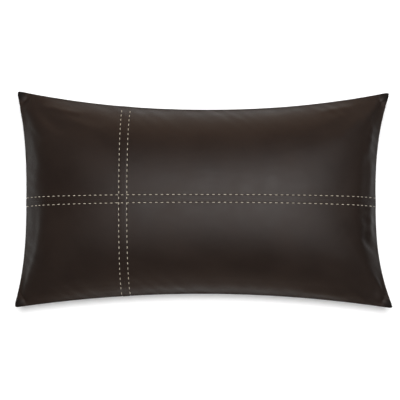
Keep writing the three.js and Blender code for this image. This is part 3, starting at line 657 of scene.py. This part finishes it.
def thread_along(name, points, radii, sides=3):
    """A thread through the points, as a round curve made into a mesh with its turn and its length in a strand
    attribute.
    """
    bpy.ops.curve.primitive_nurbs_path_add()
    thread = bpy.context.object
    thread.name = thread.data.name = name
    curve = thread.data
    curve.splines.clear()
    spline = curve.splines.new("POLY")
    spline.points.add(len(points) - 1)
    spline.points.foreach_set("co", np.hstack([points, np.ones((len(points), 1))]).ravel())
    spline.points.foreach_set("radius", radii)
    curve.bevel_depth = 1.0
    curve.bevel_resolution = sides
    curve.use_fill_caps = True
    bpy.ops.object.convert(target="MESH")
    thread = bpy.context.object
    bpy.ops.object.shade_smooth()
    ring = 2 * sides + 2
    number = np.minimum(np.arange(len(thread.data.vertices)) // ring, len(points) - 1)
    turn = np.arange(len(thread.data.vertices)) % ring / ring * 2 * math.pi
    travelled = lengths_along(points)
    strand = np.stack([np.cos(turn), np.sin(turn), travelled[number]], -1).astype(np.float32)
    thread.data.attributes.new("strand", "FLOAT_VECTOR", "POINT").data.foreach_set("vector", strand.ravel())
    return thread


def stitch_row(name, line_at, length, crossing):
    """One row of stitches along the front, lifted where it crosses the rows that were sewn first."""
    count = int(length / STITCH_PITCH)
    along = np.linspace(ROW_END, length - ROW_END, count * POINTS_PER_STITCH)
    over = sum(CROSSING_LIFT * np.exp(-(((along - at) / 0.0030) ** 4)) for at in crossing) + 0 * along
    phase = (along / STITCH_PITCH) % 1.0
    over = np.where(phase < 0.5, over, 0)
    u, v = front_uv(*line_at(along))
    height = thread_heights(along, over)
    points, _, _ = lay_out(u, v, 1, -height, 0.0)
    plump = THREAD_RADIUS * (0.86 + 0.14 * np.sin(np.clip(phase, 0, 0.5) * 2 * math.pi))
    return thread_along(name, points, plump)


crossings = (LEFT_WIDTH - ROW_OFFSET, LEFT_WIDTH + ROW_OFFSET)
ROWS = {
    "topstitch_upright_left": (lambda along: (LEFT_WIDTH - ROW_OFFSET, along), 2 * HALF_HEIGHT, ()),
    "topstitch_upright_right": (lambda along: (LEFT_WIDTH + ROW_OFFSET, along), 2 * HALF_HEIGHT, ()),
    "topstitch_level_upper": (lambda along: (along, HALF_HEIGHT + ROW_OFFSET), BACK_WIDTH, crossings),
    "topstitch_level_lower": (lambda along: (along, HALF_HEIGHT - ROW_OFFSET), BACK_WIDTH, crossings),
}


def thread_finish(name, roughness, lay, deep, pale, depth, **constants):
    """Three plies twisted round each other, a full turn in lay metres, lower between them and darker there
    with painted shade.
    """
    finish, tree, shader = new_finish(name, roughness, **constants)
    strand = put(tree, "ShaderNodeAttribute", attribute_name="strand").outputs["Vector"]
    strand = put(tree, "ShaderNodeSeparateXYZ", {0: strand}).outputs
    turn = math_node(tree, "ARCTAN2", strand[1], strand[0])
    travel = math_node(tree, "MULTIPLY", strand[2], 2 * math.pi / lay)
    wave = math_node(tree, "COSINE", math_node(tree, "ADD", math_node(tree, "MULTIPLY", turn, 3.0), travel))
    ply = remap(tree, wave, -1.0, 0.6)
    # Painted shade: the colour runs from deep in the grooves between the plies to pale on their crowns.
    tree.links.new(colour_mix(tree, ply, (*deep, 1), (*pale, 1)), shader.inputs["Base Color"])
    relief(tree, shader, ply, 0.8, depth)
    return finish


cream = thread_finish(
    "waxed_cream_thread", 0.55, 0.0052, (0.33, 0.28, 0.20), (0.62, 0.57, 0.47), 0.00012,
    Specular_IOR_Level=0.4,
)
for name, (line_at, length, crossing) in ROWS.items():
    complete(stitch_row(name + "_thread", line_at, length, crossing), cream, name)


# ---- Edge seam thread ----
# Dark bonded thread that joins front and back. It lies deep between the two turned edges, round the top
# and both sides and on past the ends of the zip, and it shows only as short stitches down in the groove.
EDGE_THREAD_RADIUS = 0.00026
EDGE_THREAD_INSET = 0.0014
EDGE_STITCH = 0.0032
EDGE_SEAM_FROM_X = 0.262


def edge_outline():
    """Points along the outer edge from one end of the zip round to the other, a little way in."""
    steps = np.linspace(0, 1, 700)
    left_bottom = (-EDGE_SEAM_FROM_X - float(left_x(np.array(-1.0)))) / BACK_WIDTH
    right_bottom = 1 - (float(right_x(np.array(-1.0))) - EDGE_SEAM_FROM_X) / BACK_WIDTH
    rounds = [
        (left_bottom * (1 - steps[::8]), -1 + 0 * steps[::8]),
        (0 * steps[::3], -1 + 2 * steps[::3]),
        (steps, 1 + 0 * steps),
        (1 + 0 * steps[::3], 1 - 2 * steps[::3]),
        (1 - (1 - right_bottom) * steps[::8], -1 + 0 * steps[::8]),
    ]
    u, v = (np.concatenate(part) for part in zip(*rounds))
    x, y = plan(u, v)
    beside = np.minimum(u, 1 - u) < 0.003
    inward = np.stack([np.sign(0.5 - u) * beside, -np.sign(v) * (np.abs(v) > 0.99)], -1)
    inward = inward / np.maximum(np.linalg.norm(inward, axis=1, keepdims=True), 1)
    outline = np.stack([x + SHIFT_X, y + SHIFT_Y], -1) + inward * EDGE_THREAD_INSET
    step = np.linalg.norm(np.diff(outline, axis=0), axis=1)
    keep = np.concatenate([[True], step > 1e-6])
    return outline[keep]


outline = edge_outline()
travelled = lengths_along(outline)
along = np.arange(0, travelled[-1], EDGE_STITCH / 8)
edge_x, edge_y = (np.interp(along, travelled, outline[:, axis]) for axis in (0, 1))
edge_z = SEAM_Z + 0.00022 * np.sin(along / EDGE_STITCH * 2 * math.pi)
edge_points = np.stack([edge_x, edge_y, edge_z], -1)
edge_thread = thread_along("edge_seam_thread", edge_points, np.full(len(along), EDGE_THREAD_RADIUS), 2)
bonded = thread_finish(
    "bonded_dark_thread", 0.5, 0.0021, (0.008, 0.006, 0.005), (0.026, 0.019, 0.015), 0.00005
)
complete(edge_thread, bonded, "side_seam_thread")


# ---- Zip tapes and coils, in the bottom edge ----
# A hidden coil zip, sewn to the turned-in allowances of front and back. Each tape is a woven polyester
# strip that carries one continuous nylon coil, and the two coils meet on the seam's middle plane.
TAPE_HALF_LENGTH = 0.245
ZIP_HALF_LENGTH = 0.232
# Lines along a tape, each (way in from the edge, height from the seam plane)
TAPE_LINES = [(0.00535, 0.0026), (0.0054, 0.0036), (0.0058, 0.0044)]
TAPE_LINES += [(0.0075, 0.0049), (0.0100, 0.0056), (0.0128, 0.0068)]
TAPE_COLUMNS = 240
TAPE = 0.0005
COIL_PITCH = 0.0016
COIL_POINTS = 10


def on_zip(x, s, z):
    """Points x along the zip, s in from the bottom edge's arc and z over the seam plane."""
    angle = np.arcsin(np.asarray(x) / ZIP_ARC_RADIUS)
    radius = ZIP_ARC_RADIUS + s
    along, inward = radius * np.sin(angle), radius * np.cos(angle)
    return np.stack([ARC_CENTRE.x + along, ARC_CENTRE.y + inward, SEAM_Z + z + 0 * angle], -1)


def grid_piece(name, columns, rows, place_at, uv_at=None):
    """A grid whose vertices are laid out by place_at(column, row), with UV in metres from uv_at."""
    piece, i, j = new_grid(name, columns, rows)
    piece.data.vertices.foreach_set("co", place_at(i, j).ravel())
    if uv_at:
        loops = np.empty(len(piece.data.loops), int)
        piece.data.loops.foreach_get("vertex_index", loops)
        flat = np.stack(uv_at(i, j), -1)[loops]
        piece.data.uv_layers[0].data.foreach_set("uv", flat.astype(np.float32).ravel())
    piece.data.update()
    return piece


def woven_group():
    """Plain weave from a flat vector in metres: rounded threads that pass over and under each other."""
    group = bpy.data.node_groups.new("plain_weave", "ShaderNodeTree")
    group.interface.new_socket("Vector", in_out="INPUT", socket_type="NodeSocketVector")
    group.interface.new_socket("Threads", in_out="INPUT", socket_type="NodeSocketFloat")
    group.interface.new_socket("Height", in_out="OUTPUT", socket_type="NodeSocketFloat")
    source, result = group.nodes.new("NodeGroupInput"), group.nodes.new("NodeGroupOutput")
    flat, threads = source.outputs[0], source.outputs[1]
    scaled = put(group, "ShaderNodeVectorMath", {0: flat, 1: threads}, operation="MULTIPLY")
    across = put(group, "ShaderNodeSeparateXYZ", {0: scaled.outputs[0]}).outputs
    column, row = (math_node(group, "FLOOR", across[axis]) for axis in (0, 1))
    over = math_node(group, "PINGPONG", math_node(group, "ADD", column, row), 1.0)
    crowns = []
    for axis in (0, 1):
        wave = math_node(group, "SINE", math_node(group, "MULTIPLY", across[axis], math.pi))
        crowns.append(math_node(group, "POWER", math_node(group, "ABSOLUTE", wave), 0.6))
    lifted = math_node(group, "MULTIPLY", over, 0.5)
    warp = math_node(group, "MULTIPLY", crowns[0], math_node(group, "ADD", lifted, 0.5))
    weft = math_node(group, "MULTIPLY", crowns[1], math_node(group, "SUBTRACT", 1.0, lifted))
    group.links.new(math_node(group, "MAXIMUM", warp, weft), result.inputs[0])
    return group


plain_weave = woven_group()


def woven_finish(name, threads, deep, pale, roughness, depth):
    """A plain-woven cloth with so many threads to the metre, from its deepest colour, painted shade where the
    threads dip, to its palest on their crowns.
    """
    finish, tree, shader = new_finish(name, roughness)
    flat = put(tree, "ShaderNodeTexCoord").outputs["UV"]
    weave = put(tree, "ShaderNodeGroup", node_tree=plain_weave)
    tree.links.new(flat, weave.inputs["Vector"])
    weave.inputs["Threads"].default_value = threads
    slub = remap(tree, noise(tree, flat, threads * 0.35, 3.0), 0.3, 0.7)
    # Painted shade: the cloth is darker where the weave dips between threads and paler on the crowns.
    cloth = colour_mix(tree, weave.outputs[0], (*deep, 1), (*pale, 1))
    cloth = colour_mix(tree, math_node(tree, "MULTIPLY", slub, 0.25), cloth, (*deep, 1))
    tree.links.new(cloth, shader.inputs["Base Color"])
    relief(tree, shader, weave.outputs[0], 0.7, depth)
    return finish


tape_cloth = woven_finish(
    "woven_brown_tape", 2600.0, (0.008, 0.006, 0.005), (0.030, 0.023, 0.019), 0.75, 0.00012
)
nylon, tree, shader = new_finish("moulded_brown_nylon", 0.38)
place = put(tree, "ShaderNodeTexCoord").outputs["Object"]
tint = colour_mix(tree, noise(tree, place, 900.0, 2.0), (0.012, 0.009, 0.007, 1), (0.026, 0.020, 0.016, 1))
tree.links.new(tint, shader.inputs["Base Color"])
tree.links.new(remap(tree, noise(tree, place, 1500.0), 0.3, 0.7, 0.32, 0.46), shader.inputs["Roughness"])
for side, word in ((1, "front"), (-1, "back")):
    lines = np.array(TAPE_LINES)
    along = np.linspace(-TAPE_HALF_LENGTH, TAPE_HALF_LENGTH, TAPE_COLUMNS + 1)
    tape = grid_piece(
        f"zip_tape_{word}_weave", TAPE_COLUMNS, len(lines) - 1,
        lambda i, j: on_zip(along[i], lines[j, 0], side * lines[j, 1]),
        lambda i, j: (along[i], lines[j, 0] + lines[j, 1]),
    )
    if side < 0:
        tape.data.flip_normals()
    thicken(tape, TAPE)
    complete(tape, tape_cloth, f"zipper_tape_{word}")

    turns = round(2 * ZIP_HALF_LENGTH / COIL_PITCH)
    turned = np.arange(turns * COIL_POINTS + 1) / COIL_POINTS
    angle = turned * 2 * math.pi
    x = -ZIP_HALF_LENGTH + 0.0004 + turned * (2 * ZIP_HALF_LENGTH - 0.0008) / turns
    s = 0.0055 + 0.00066 * np.cos(angle)
    z = side * (0.0014 + 0.00064 * np.sin(angle))
    coil = thread_along(f"zip_coil_{word}_turns", on_zip(x, s, z), np.full(len(x), 0.00024), 1)
    complete(coil, nylon, f"zipper_coil_{word}")


# ---- Zip stops, slider and pull tab ----
# Small parts of antiqued brown metal: two top stops and one bottom stop clamped over the ends of the coils,
# the cast slider with its two plates and ears, and a flat pull with a long slot, free to swing on its pin.
SLIDER_X = 0.225
STOP_LENGTH = 0.004
STOP_SECTION = (0.0043, 0.0067)
STOP_OUTER = 0.00235
PIN_S = 0.0018


def rounded_block(name, low, high, soften, segments=2):
    """A box between two corners with every edge rounded."""
    low, high = Vector(low), Vector(high)
    bpy.ops.mesh.primitive_cube_add(size=1, location=(low + high) / 2, scale=high - low)
    block = bpy.context.object
    block.name = block.data.name = name
    bpy.ops.object.transform_apply(location=True, rotation=True, scale=True)
    bpy.ops.object.mode_set(mode="EDIT")
    bpy.ops.mesh.select_all(action="SELECT")
    bpy.ops.mesh.bevel(offset=soften, segments=segments, affect="EDGES")
    bpy.ops.object.mode_set(mode="OBJECT")
    return block


def joined(name, parts):
    """One object made of several, smooth except at its sharp edges."""
    select(*parts)
    bpy.ops.object.join()
    whole = bpy.context.object
    whole.name = whole.data.name = name
    bpy.ops.object.shade_smooth_by_angle(angle=math.radians(40))
    select()
    return whole


def set_on_zip(piece, x):
    """Moves a piece made at the origin, X along the zip and Y in from the edge, to its place on the arc."""
    angle = math.asin(x / ZIP_ARC_RADIUS)
    foot = Vector(on_zip(x, 0.0, 0.0).tolist())
    piece.data.transform(Matrix.Translation(foot) @ Matrix.Rotation(-angle, 4, "Z"))
    piece.data.update()


metal, tree, shader = new_finish("antiqued_brown_metal", 0.35, Metallic=1.0)
place = put(tree, "ShaderNodeTexCoord").outputs["Object"]
patina = remap(tree, noise(tree, place, 700.0, 4.0, 0.6), 0.35, 0.65)
bronze = colour_mix(tree, patina, (0.10, 0.078, 0.058, 1), (0.20, 0.165, 0.125, 1))
tree.links.new(bronze, shader.inputs["Base Color"])
tree.links.new(remap(tree, noise(tree, place, 2400.0, 2.0), 0.3, 0.7, 0.28, 0.48), shader.inputs["Roughness"])
relief(tree, shader, patina, 0.3, 0.00004)


def metal_piece(piece, x, body, node):
    """Sets a metal piece on the zip and completes it."""
    set_on_zip(piece, x)
    complete(piece, metal, node, body)


def zip_stop(name, node, end, low_z, high_z, ridge_half, ridge_low, ridge_high):
    """A clamp with a ridge across it, just past the right (1) or left (-1) end of the coils."""
    s0, s1 = STOP_SECTION
    half = STOP_LENGTH / 2
    clamp = rounded_block("clamp", (-half, s0, low_z), (half, s1, high_z), 0.0004, 3)
    ridge = rounded_block("ridge", (-ridge_half, s0 - 0.0002, ridge_low), (ridge_half, s1, ridge_high), 0.0003)
    metal_piece(joined(name, [clamp, ridge]), end * (ZIP_HALF_LENGTH + 0.0004 + half), "cushion", node)


for side, word in ((1, "front"), (-1, "back")):
    z0, z1 = sorted((0.0005 * side, STOP_OUTER * side))
    zip_stop(
        f"zip_top_stop_{word}_clamp", f"zipper_top_stop_{word}", 1, z0, z1, 0.0011, z0 + 0.0003, z1 - 0.0002
    )
zip_stop(
    "zip_bottom_stop_clamp", "zipper_bottom_stop", -1, -STOP_OUTER, STOP_OUTER, 0.0010, -0.0018, 0.0018
)


def slider_plate(name, low_s, high_s):
    """One of the slider's plates, with rounded corners and a narrower tail."""
    plate = rounded_block(name, (-0.0045, low_s, -0.0034), (0.0045, high_s, 0.0034), 0.0003, 2)
    for vertex in plate.data.vertices:
        tail = min(max((-0.0012 - vertex.co.x) / 0.0033, 0), 1)
        nose = min(max((vertex.co.x - 0.0032) / 0.0013, 0), 1)
        vertex.co.z *= 1 - 0.22 * tail - 0.28 * nose
    return plate


parts = [slider_plate("outer_plate", 0.0032, 0.0042), slider_plate("inner_plate", 0.0069, 0.0079)]
parts.append(rounded_block("post", (0.0011, 0.0039, -0.0003), (0.0041, 0.0072, 0.0003), 0.0001))
for side in (1, -1):
    z0, z1 = sorted((0.00275 * side, 0.0034 * side))
    parts.append(rounded_block("outer_flange", (-0.0015, 0.0039, z0), (0.0035, 0.0047, z1), 0.00015))
    parts.append(rounded_block("inner_flange", (-0.0015, 0.0064, z0), (0.0035, 0.0072, z1), 0.00015))
    z0, z1 = sorted((0.00155 * side, 0.00205 * side))
    parts.append(rounded_block("ear", (-0.0011, 0.00095, z0), (0.0011, 0.0035, z1), 0.00018, 3))
bpy.ops.mesh.primitive_cylinder_add(vertices=24, radius=0.00055, depth=0.0036, location=(0, PIN_S, 0))
bpy.ops.object.transform_apply(location=True, rotation=True, scale=True)
parts.append(bpy.context.object)
metal_piece(joined("zip_slider_cast", parts), SLIDER_X, "slider", "zipper_slider")

# The pull: a flat blade with its slot bridged through, and the eye that turns on the pin
blade = rounded_block("blade", (-0.020, PIN_S - 0.0004, -0.0020), (-0.0009, PIN_S + 0.0004, 0.0020), 0.00012)
bpy.ops.object.mode_set(mode="EDIT")
bpy.ops.mesh.select_mode(type="FACE")
bpy.ops.mesh.select_all(action="DESELECT")
bpy.ops.object.mode_set(mode="OBJECT")
for face in blade.data.polygons:
    face.select = abs(face.normal.y) > 0.99 and face.area > 2e-5
bpy.ops.object.mode_set(mode="EDIT")
bpy.ops.mesh.inset(thickness=0.0011, use_individual=True)
bpy.ops.mesh.bridge_edge_loops()
bpy.ops.object.mode_set(mode="OBJECT")
for vertex in blade.data.vertices:
    if vertex.co.x > -0.0055:
        vertex.co.z *= 0.65
bpy.ops.mesh.primitive_torus_add(
    major_segments=28, minor_segments=10, major_radius=0.0009, minor_radius=0.0003, location=(0, PIN_S, 0)
)
bpy.ops.object.transform_apply(location=True, rotation=True, scale=True)
eye = bpy.context.object
for vertex in eye.data.vertices:
    vertex.co.z *= 4.2
metal_piece(joined("pull_tab_blade", [blade, eye]), SLIDER_X, "pull_tab", "zipper_pull_tab")


# ---- Inner pad: two cotton covers, their filling and a blank label ----
# A separate pad fills the cover. Its two plain-weave cotton covers meet round the edge and hold loose
# polyester fibre, and a blank woven label is caught in the seam at one end.
INSET_SIDE = 0.007
INSET_BOTTOM = 0.013
PAD_GAP = 0.0042
COTTON = 0.0005
PAD_COLUMNS = 150
PAD_ROWS = 90


def pad_point(u, v, side, depth):
    """A point of the inner pad's own surface, or a depth under it."""
    x, y = plan(u, v)
    left, right, top, bottom = left_x(v), right_x(v), top_y(x), bottom_y(x)
    x = left + INSET_SIDE + (right - left - 2 * INSET_SIDE) * (x - left) / (right - left)
    pad_height = top - bottom - INSET_SIDE - INSET_BOTTOM
    y = bottom + INSET_BOTTOM + pad_height * (y - bottom) / (top - bottom)
    crown = (FRONT_CROWN if side > 0 else BACK_CROWN) - PAD_GAP
    rise = crown * fullness(u, v)
    if side < 0:
        rise = smallest(rise, SEAM_Z - PAD_GAP, FLATTEN_BLEND)
    leather_u = (x - left) / (right - left)
    level = seam_y(x)
    leather_v = np.where(y > level, (y - level) / (top - level), (y - level) / (level - bottom))
    cover = sample(layers[side], np.clip(leather_u, 0, 1), np.clip(leather_v, -1, 1))[..., 2]
    from_side = np.minimum(leather_u, 1 - leather_u) * BACK_WIDTH
    corner = np.hypot(from_side, (1 - np.abs(leather_v)) * HALF_HEIGHT)
    dips = np.minimum(corner_knobs(x, y), 0)
    if side > 0:
        dips = dips + np.minimum(folds_at(x, y, FRONT_FOLDS), 0)
    # The leather's own folds are not in the sampled layers, so the pad stays well under their dips
    clear = PAD_GAP + 0.0022 + 0.006 * np.exp(-((corner / 0.035) ** 2)) - 2.5 * dips
    rise = np.minimum(rise, np.maximum((cover - SEAM_Z) * side - clear, 0))
    lumps = np.sin(x * 61 + 2 * np.sin(y * 43)) * np.sin(y * 71 + 2 * np.sin(x * 37 + side))
    lumps = 0.0009 * lumps - 0.0009
    rise = np.maximum(rise + (lumps - depth) * np.clip(rise / 0.02, 0, 1), 0.0)
    return np.stack([x + SHIFT_X, y + SHIFT_Y, SEAM_Z + side * (0.00045 * (depth == 0) + rise)], -1)


def pad_layer(name, side, depth):
    """The front or back half of the pad's surface, drawn in a little at the edge when it lies deeper."""
    u = 0.5 - 0.5 * np.cos(math.pi * np.arange(PAD_COLUMNS + 1) / PAD_COLUMNS)
    v = -np.cos(math.pi * np.arange(PAD_ROWS + 1) / PAD_ROWS)
    inward = 0.0025 if depth else 0.0
    u = inward / BACK_WIDTH + u * (1 - 2 * inward / BACK_WIDTH)
    v = v * (1 - inward / HALF_HEIGHT)
    layer = grid_piece(
        name, PAD_COLUMNS, PAD_ROWS, lambda i, j: pad_point(u[i], v[j], side, depth),
        lambda i, j: (u[i] * BACK_WIDTH, v[j] * HALF_HEIGHT),
    )
    if side < 0:
        layer.data.flip_normals()
    return layer


ticking_cloth = woven_finish(
    "plain_weave_cotton", 1500.0, (0.50, 0.46, 0.38), (0.80, 0.77, 0.69), 0.85, 0.00015
)
for side, word in ((1, "front"), (-1, "back")):
    cotton = pad_layer(f"insert_cover_{word}_cloth", side, 0.0)
    thicken(cotton, COTTON)
    complete(cotton, ticking_cloth, f"insert_ticking_{word}")

fibre, tree, shader = new_finish("loose_polyester_fibre", 0.9)
place = put(tree, "ShaderNodeTexCoord").outputs["Object"]
wisps = noise(tree, place, 420.0, 6.0, 0.75, 2.4)
tufts = noise(tree, place, 60.0, 3.0, 0.6)
white = colour_mix(tree, remap(tree, wisps, 0.3, 0.7), (0.62, 0.61, 0.57, 1), (0.86, 0.86, 0.83, 1))
tree.links.new(white, shader.inputs["Base Color"])
relief(tree, shader, math_node(tree, "ADD", wisps, tufts), 0.9, 0.0012)
halves = [pad_layer("filling_half", side, COTTON + 0.0008) for side in (1, -1)]
filling = joined("insert_filling_fibre", halves)
select(filling)
bpy.ops.object.mode_set(mode="EDIT")
bpy.ops.mesh.select_all(action="SELECT")
bpy.ops.mesh.remove_doubles(threshold=0.00002)
bpy.ops.object.mode_set(mode="OBJECT")
select()
complete(filling, fibre, "insert_filling")

satin = woven_finish("blank_satin_label", 4200.0, (0.70, 0.70, 0.68), (0.88, 0.88, 0.86), 0.4, 0.00004)
LABEL_LENGTH = 0.045
LABEL_WIDTH = 0.030
LABEL_COLUMNS = 18
LABEL_ROWS = 12


def label_place(i, j):
    """The label lies on the pad's front near its right end, lifted a little along its middle."""
    u = 0.985 - LABEL_LENGTH / BACK_WIDTH * i / LABEL_COLUMNS
    v = -0.35 + LABEL_WIDTH / HALF_HEIGHT * j / LABEL_ROWS
    lift = 0.0004 + 0.00025 * np.sin(i / LABEL_COLUMNS * math.pi) * (1 + 0.4 * np.cos(j))
    return pad_point(u, v, 1, 0.0) + np.stack([0 * u, 0 * u, lift], -1)


label = grid_piece(
    "insert_label_blank", LABEL_COLUMNS, LABEL_ROWS, label_place,
    lambda i, j: (LABEL_LENGTH * i / LABEL_COLUMNS, LABEL_WIDTH * j / LABEL_ROWS),
)
label.data.flip_normals()
thicken(label, 0.0002)
complete(label, satin, "insert_care_label")


# ---- The floor, the lights and the camera ----
# A white floor that fades into a white room, a camera nearly straight overhead, and soft lights: one overhead
# and one behind that show only as sheen in the leather, and a key light that gives the light and the shadow.
bpy.ops.mesh.primitive_plane_add(size=12, location=(0, 0, -0.0002))
floor = bpy.context.object
floor.name = "floor"
floor_paint, _, _ = new_finish(
    "floor_white", 0.9, Base_Color=(0.86, 0.86, 0.86, 1), Emission_Color=(1, 1, 1, 1), Emission_Strength=0.22
)
floor.data.materials.append(floor_paint)

camera_data = bpy.data.cameras.new("camera")
camera = bpy.data.objects.new("camera", camera_data)
bpy.context.scene.collection.objects.link(camera)
CAMERA_DISTANCE = 1.742
VIEW_WIDTH = 0.676
SENSOR_WIDTH = 36
CAMERA_TILT = math.radians(2.4)
AIM = Vector((-0.0061, -0.0005, SEAM_Z))
camera.location = AIM + CAMERA_DISTANCE * Vector((0, -math.sin(CAMERA_TILT), math.cos(CAMERA_TILT)))
camera.rotation_euler = (CAMERA_TILT, 0, 0)
camera_data.sensor_width = SENSOR_WIDTH
camera_data.lens = SENSOR_WIDTH * CAMERA_DISTANCE / VIEW_WIDTH
bpy.context.scene.camera = camera


def softbox(name, place, aim, width, depth, power, colour=(1.0, 1.0, 1.0)):
    """A rectangular light at a place, turned to a point that it aims at."""
    data = bpy.data.lights.new(name, "AREA")
    data.shape = "RECTANGLE"
    data.size, data.size_y = width, depth
    data.energy = power
    data.color = colour
    lamp = bpy.data.objects.new(name, data)
    bpy.context.scene.collection.objects.link(lamp)
    lamp.location = place
    lamp.rotation_euler = (Vector(aim) - Vector(place)).to_track_quat("-Z", "Y").to_euler()
    return lamp


overhead = softbox("overhead", (0.42, 0.14, 2.2), (0.03, 0.0, 0.1), 1.5, 1.7, 54)
behind = softbox("behind", (0.25, 2.5, 0.5), (0.0, 0.1, 0.1), 2.4, 0.4, 6, (1.0, 0.60, 0.38))
for sheen in (overhead, behind):
    sheen.visible_diffuse = False
key = softbox("key", (0.0, 0.25, 2.5), (0.0, 0.0, 0.0), 0.8, 0.8, 80)
key.visible_glossy = False

# Cards laid on the floor round the pillow, seen only as reflections in the leather
CARDS = {
    "black_card_right": ((1.00, 0.0, 0.0005), (0.010, 0.010, 0.010, 1)),
    "grey_card_left": ((-1.00, 0.0, 0.0005), (0.42, 0.42, 0.40, 1)),
    "tan_card_behind": ((0.0, 0.87, 0.0010), (0.80, 0.60, 0.46, 1)),
    "brown_card_in_front": ((0.0, -0.85, 0.0010), (0.60, 0.44, 0.34, 1)),
}
for name, (place, colour) in CARDS.items():
    bpy.ops.mesh.primitive_plane_add(size=1.2, location=place)
    card = bpy.context.object
    card.name = name
    paper, _, _ = new_finish(name, 0.9, Base_Color=colour)
    card.data.materials.append(paper)
    card.visible_camera = card.visible_diffuse = card.visible_shadow = False

world = bpy.data.worlds.new("studio")
bpy.context.scene.world = world
world.use_nodes = True
studio = world.node_tree
studio.nodes["Background"].inputs["Color"].default_value = (1, 1, 1, 1)
seen = put(studio, "ShaderNodeLightPath").outputs["Is Camera Ray"]
studio.links.new(remap(studio, seen, 0.0, 1.0, 0.10, 0.80), studio.nodes["Background"].inputs["Strength"])
bpy.context.scene.view_settings.view_transform = "Standard"
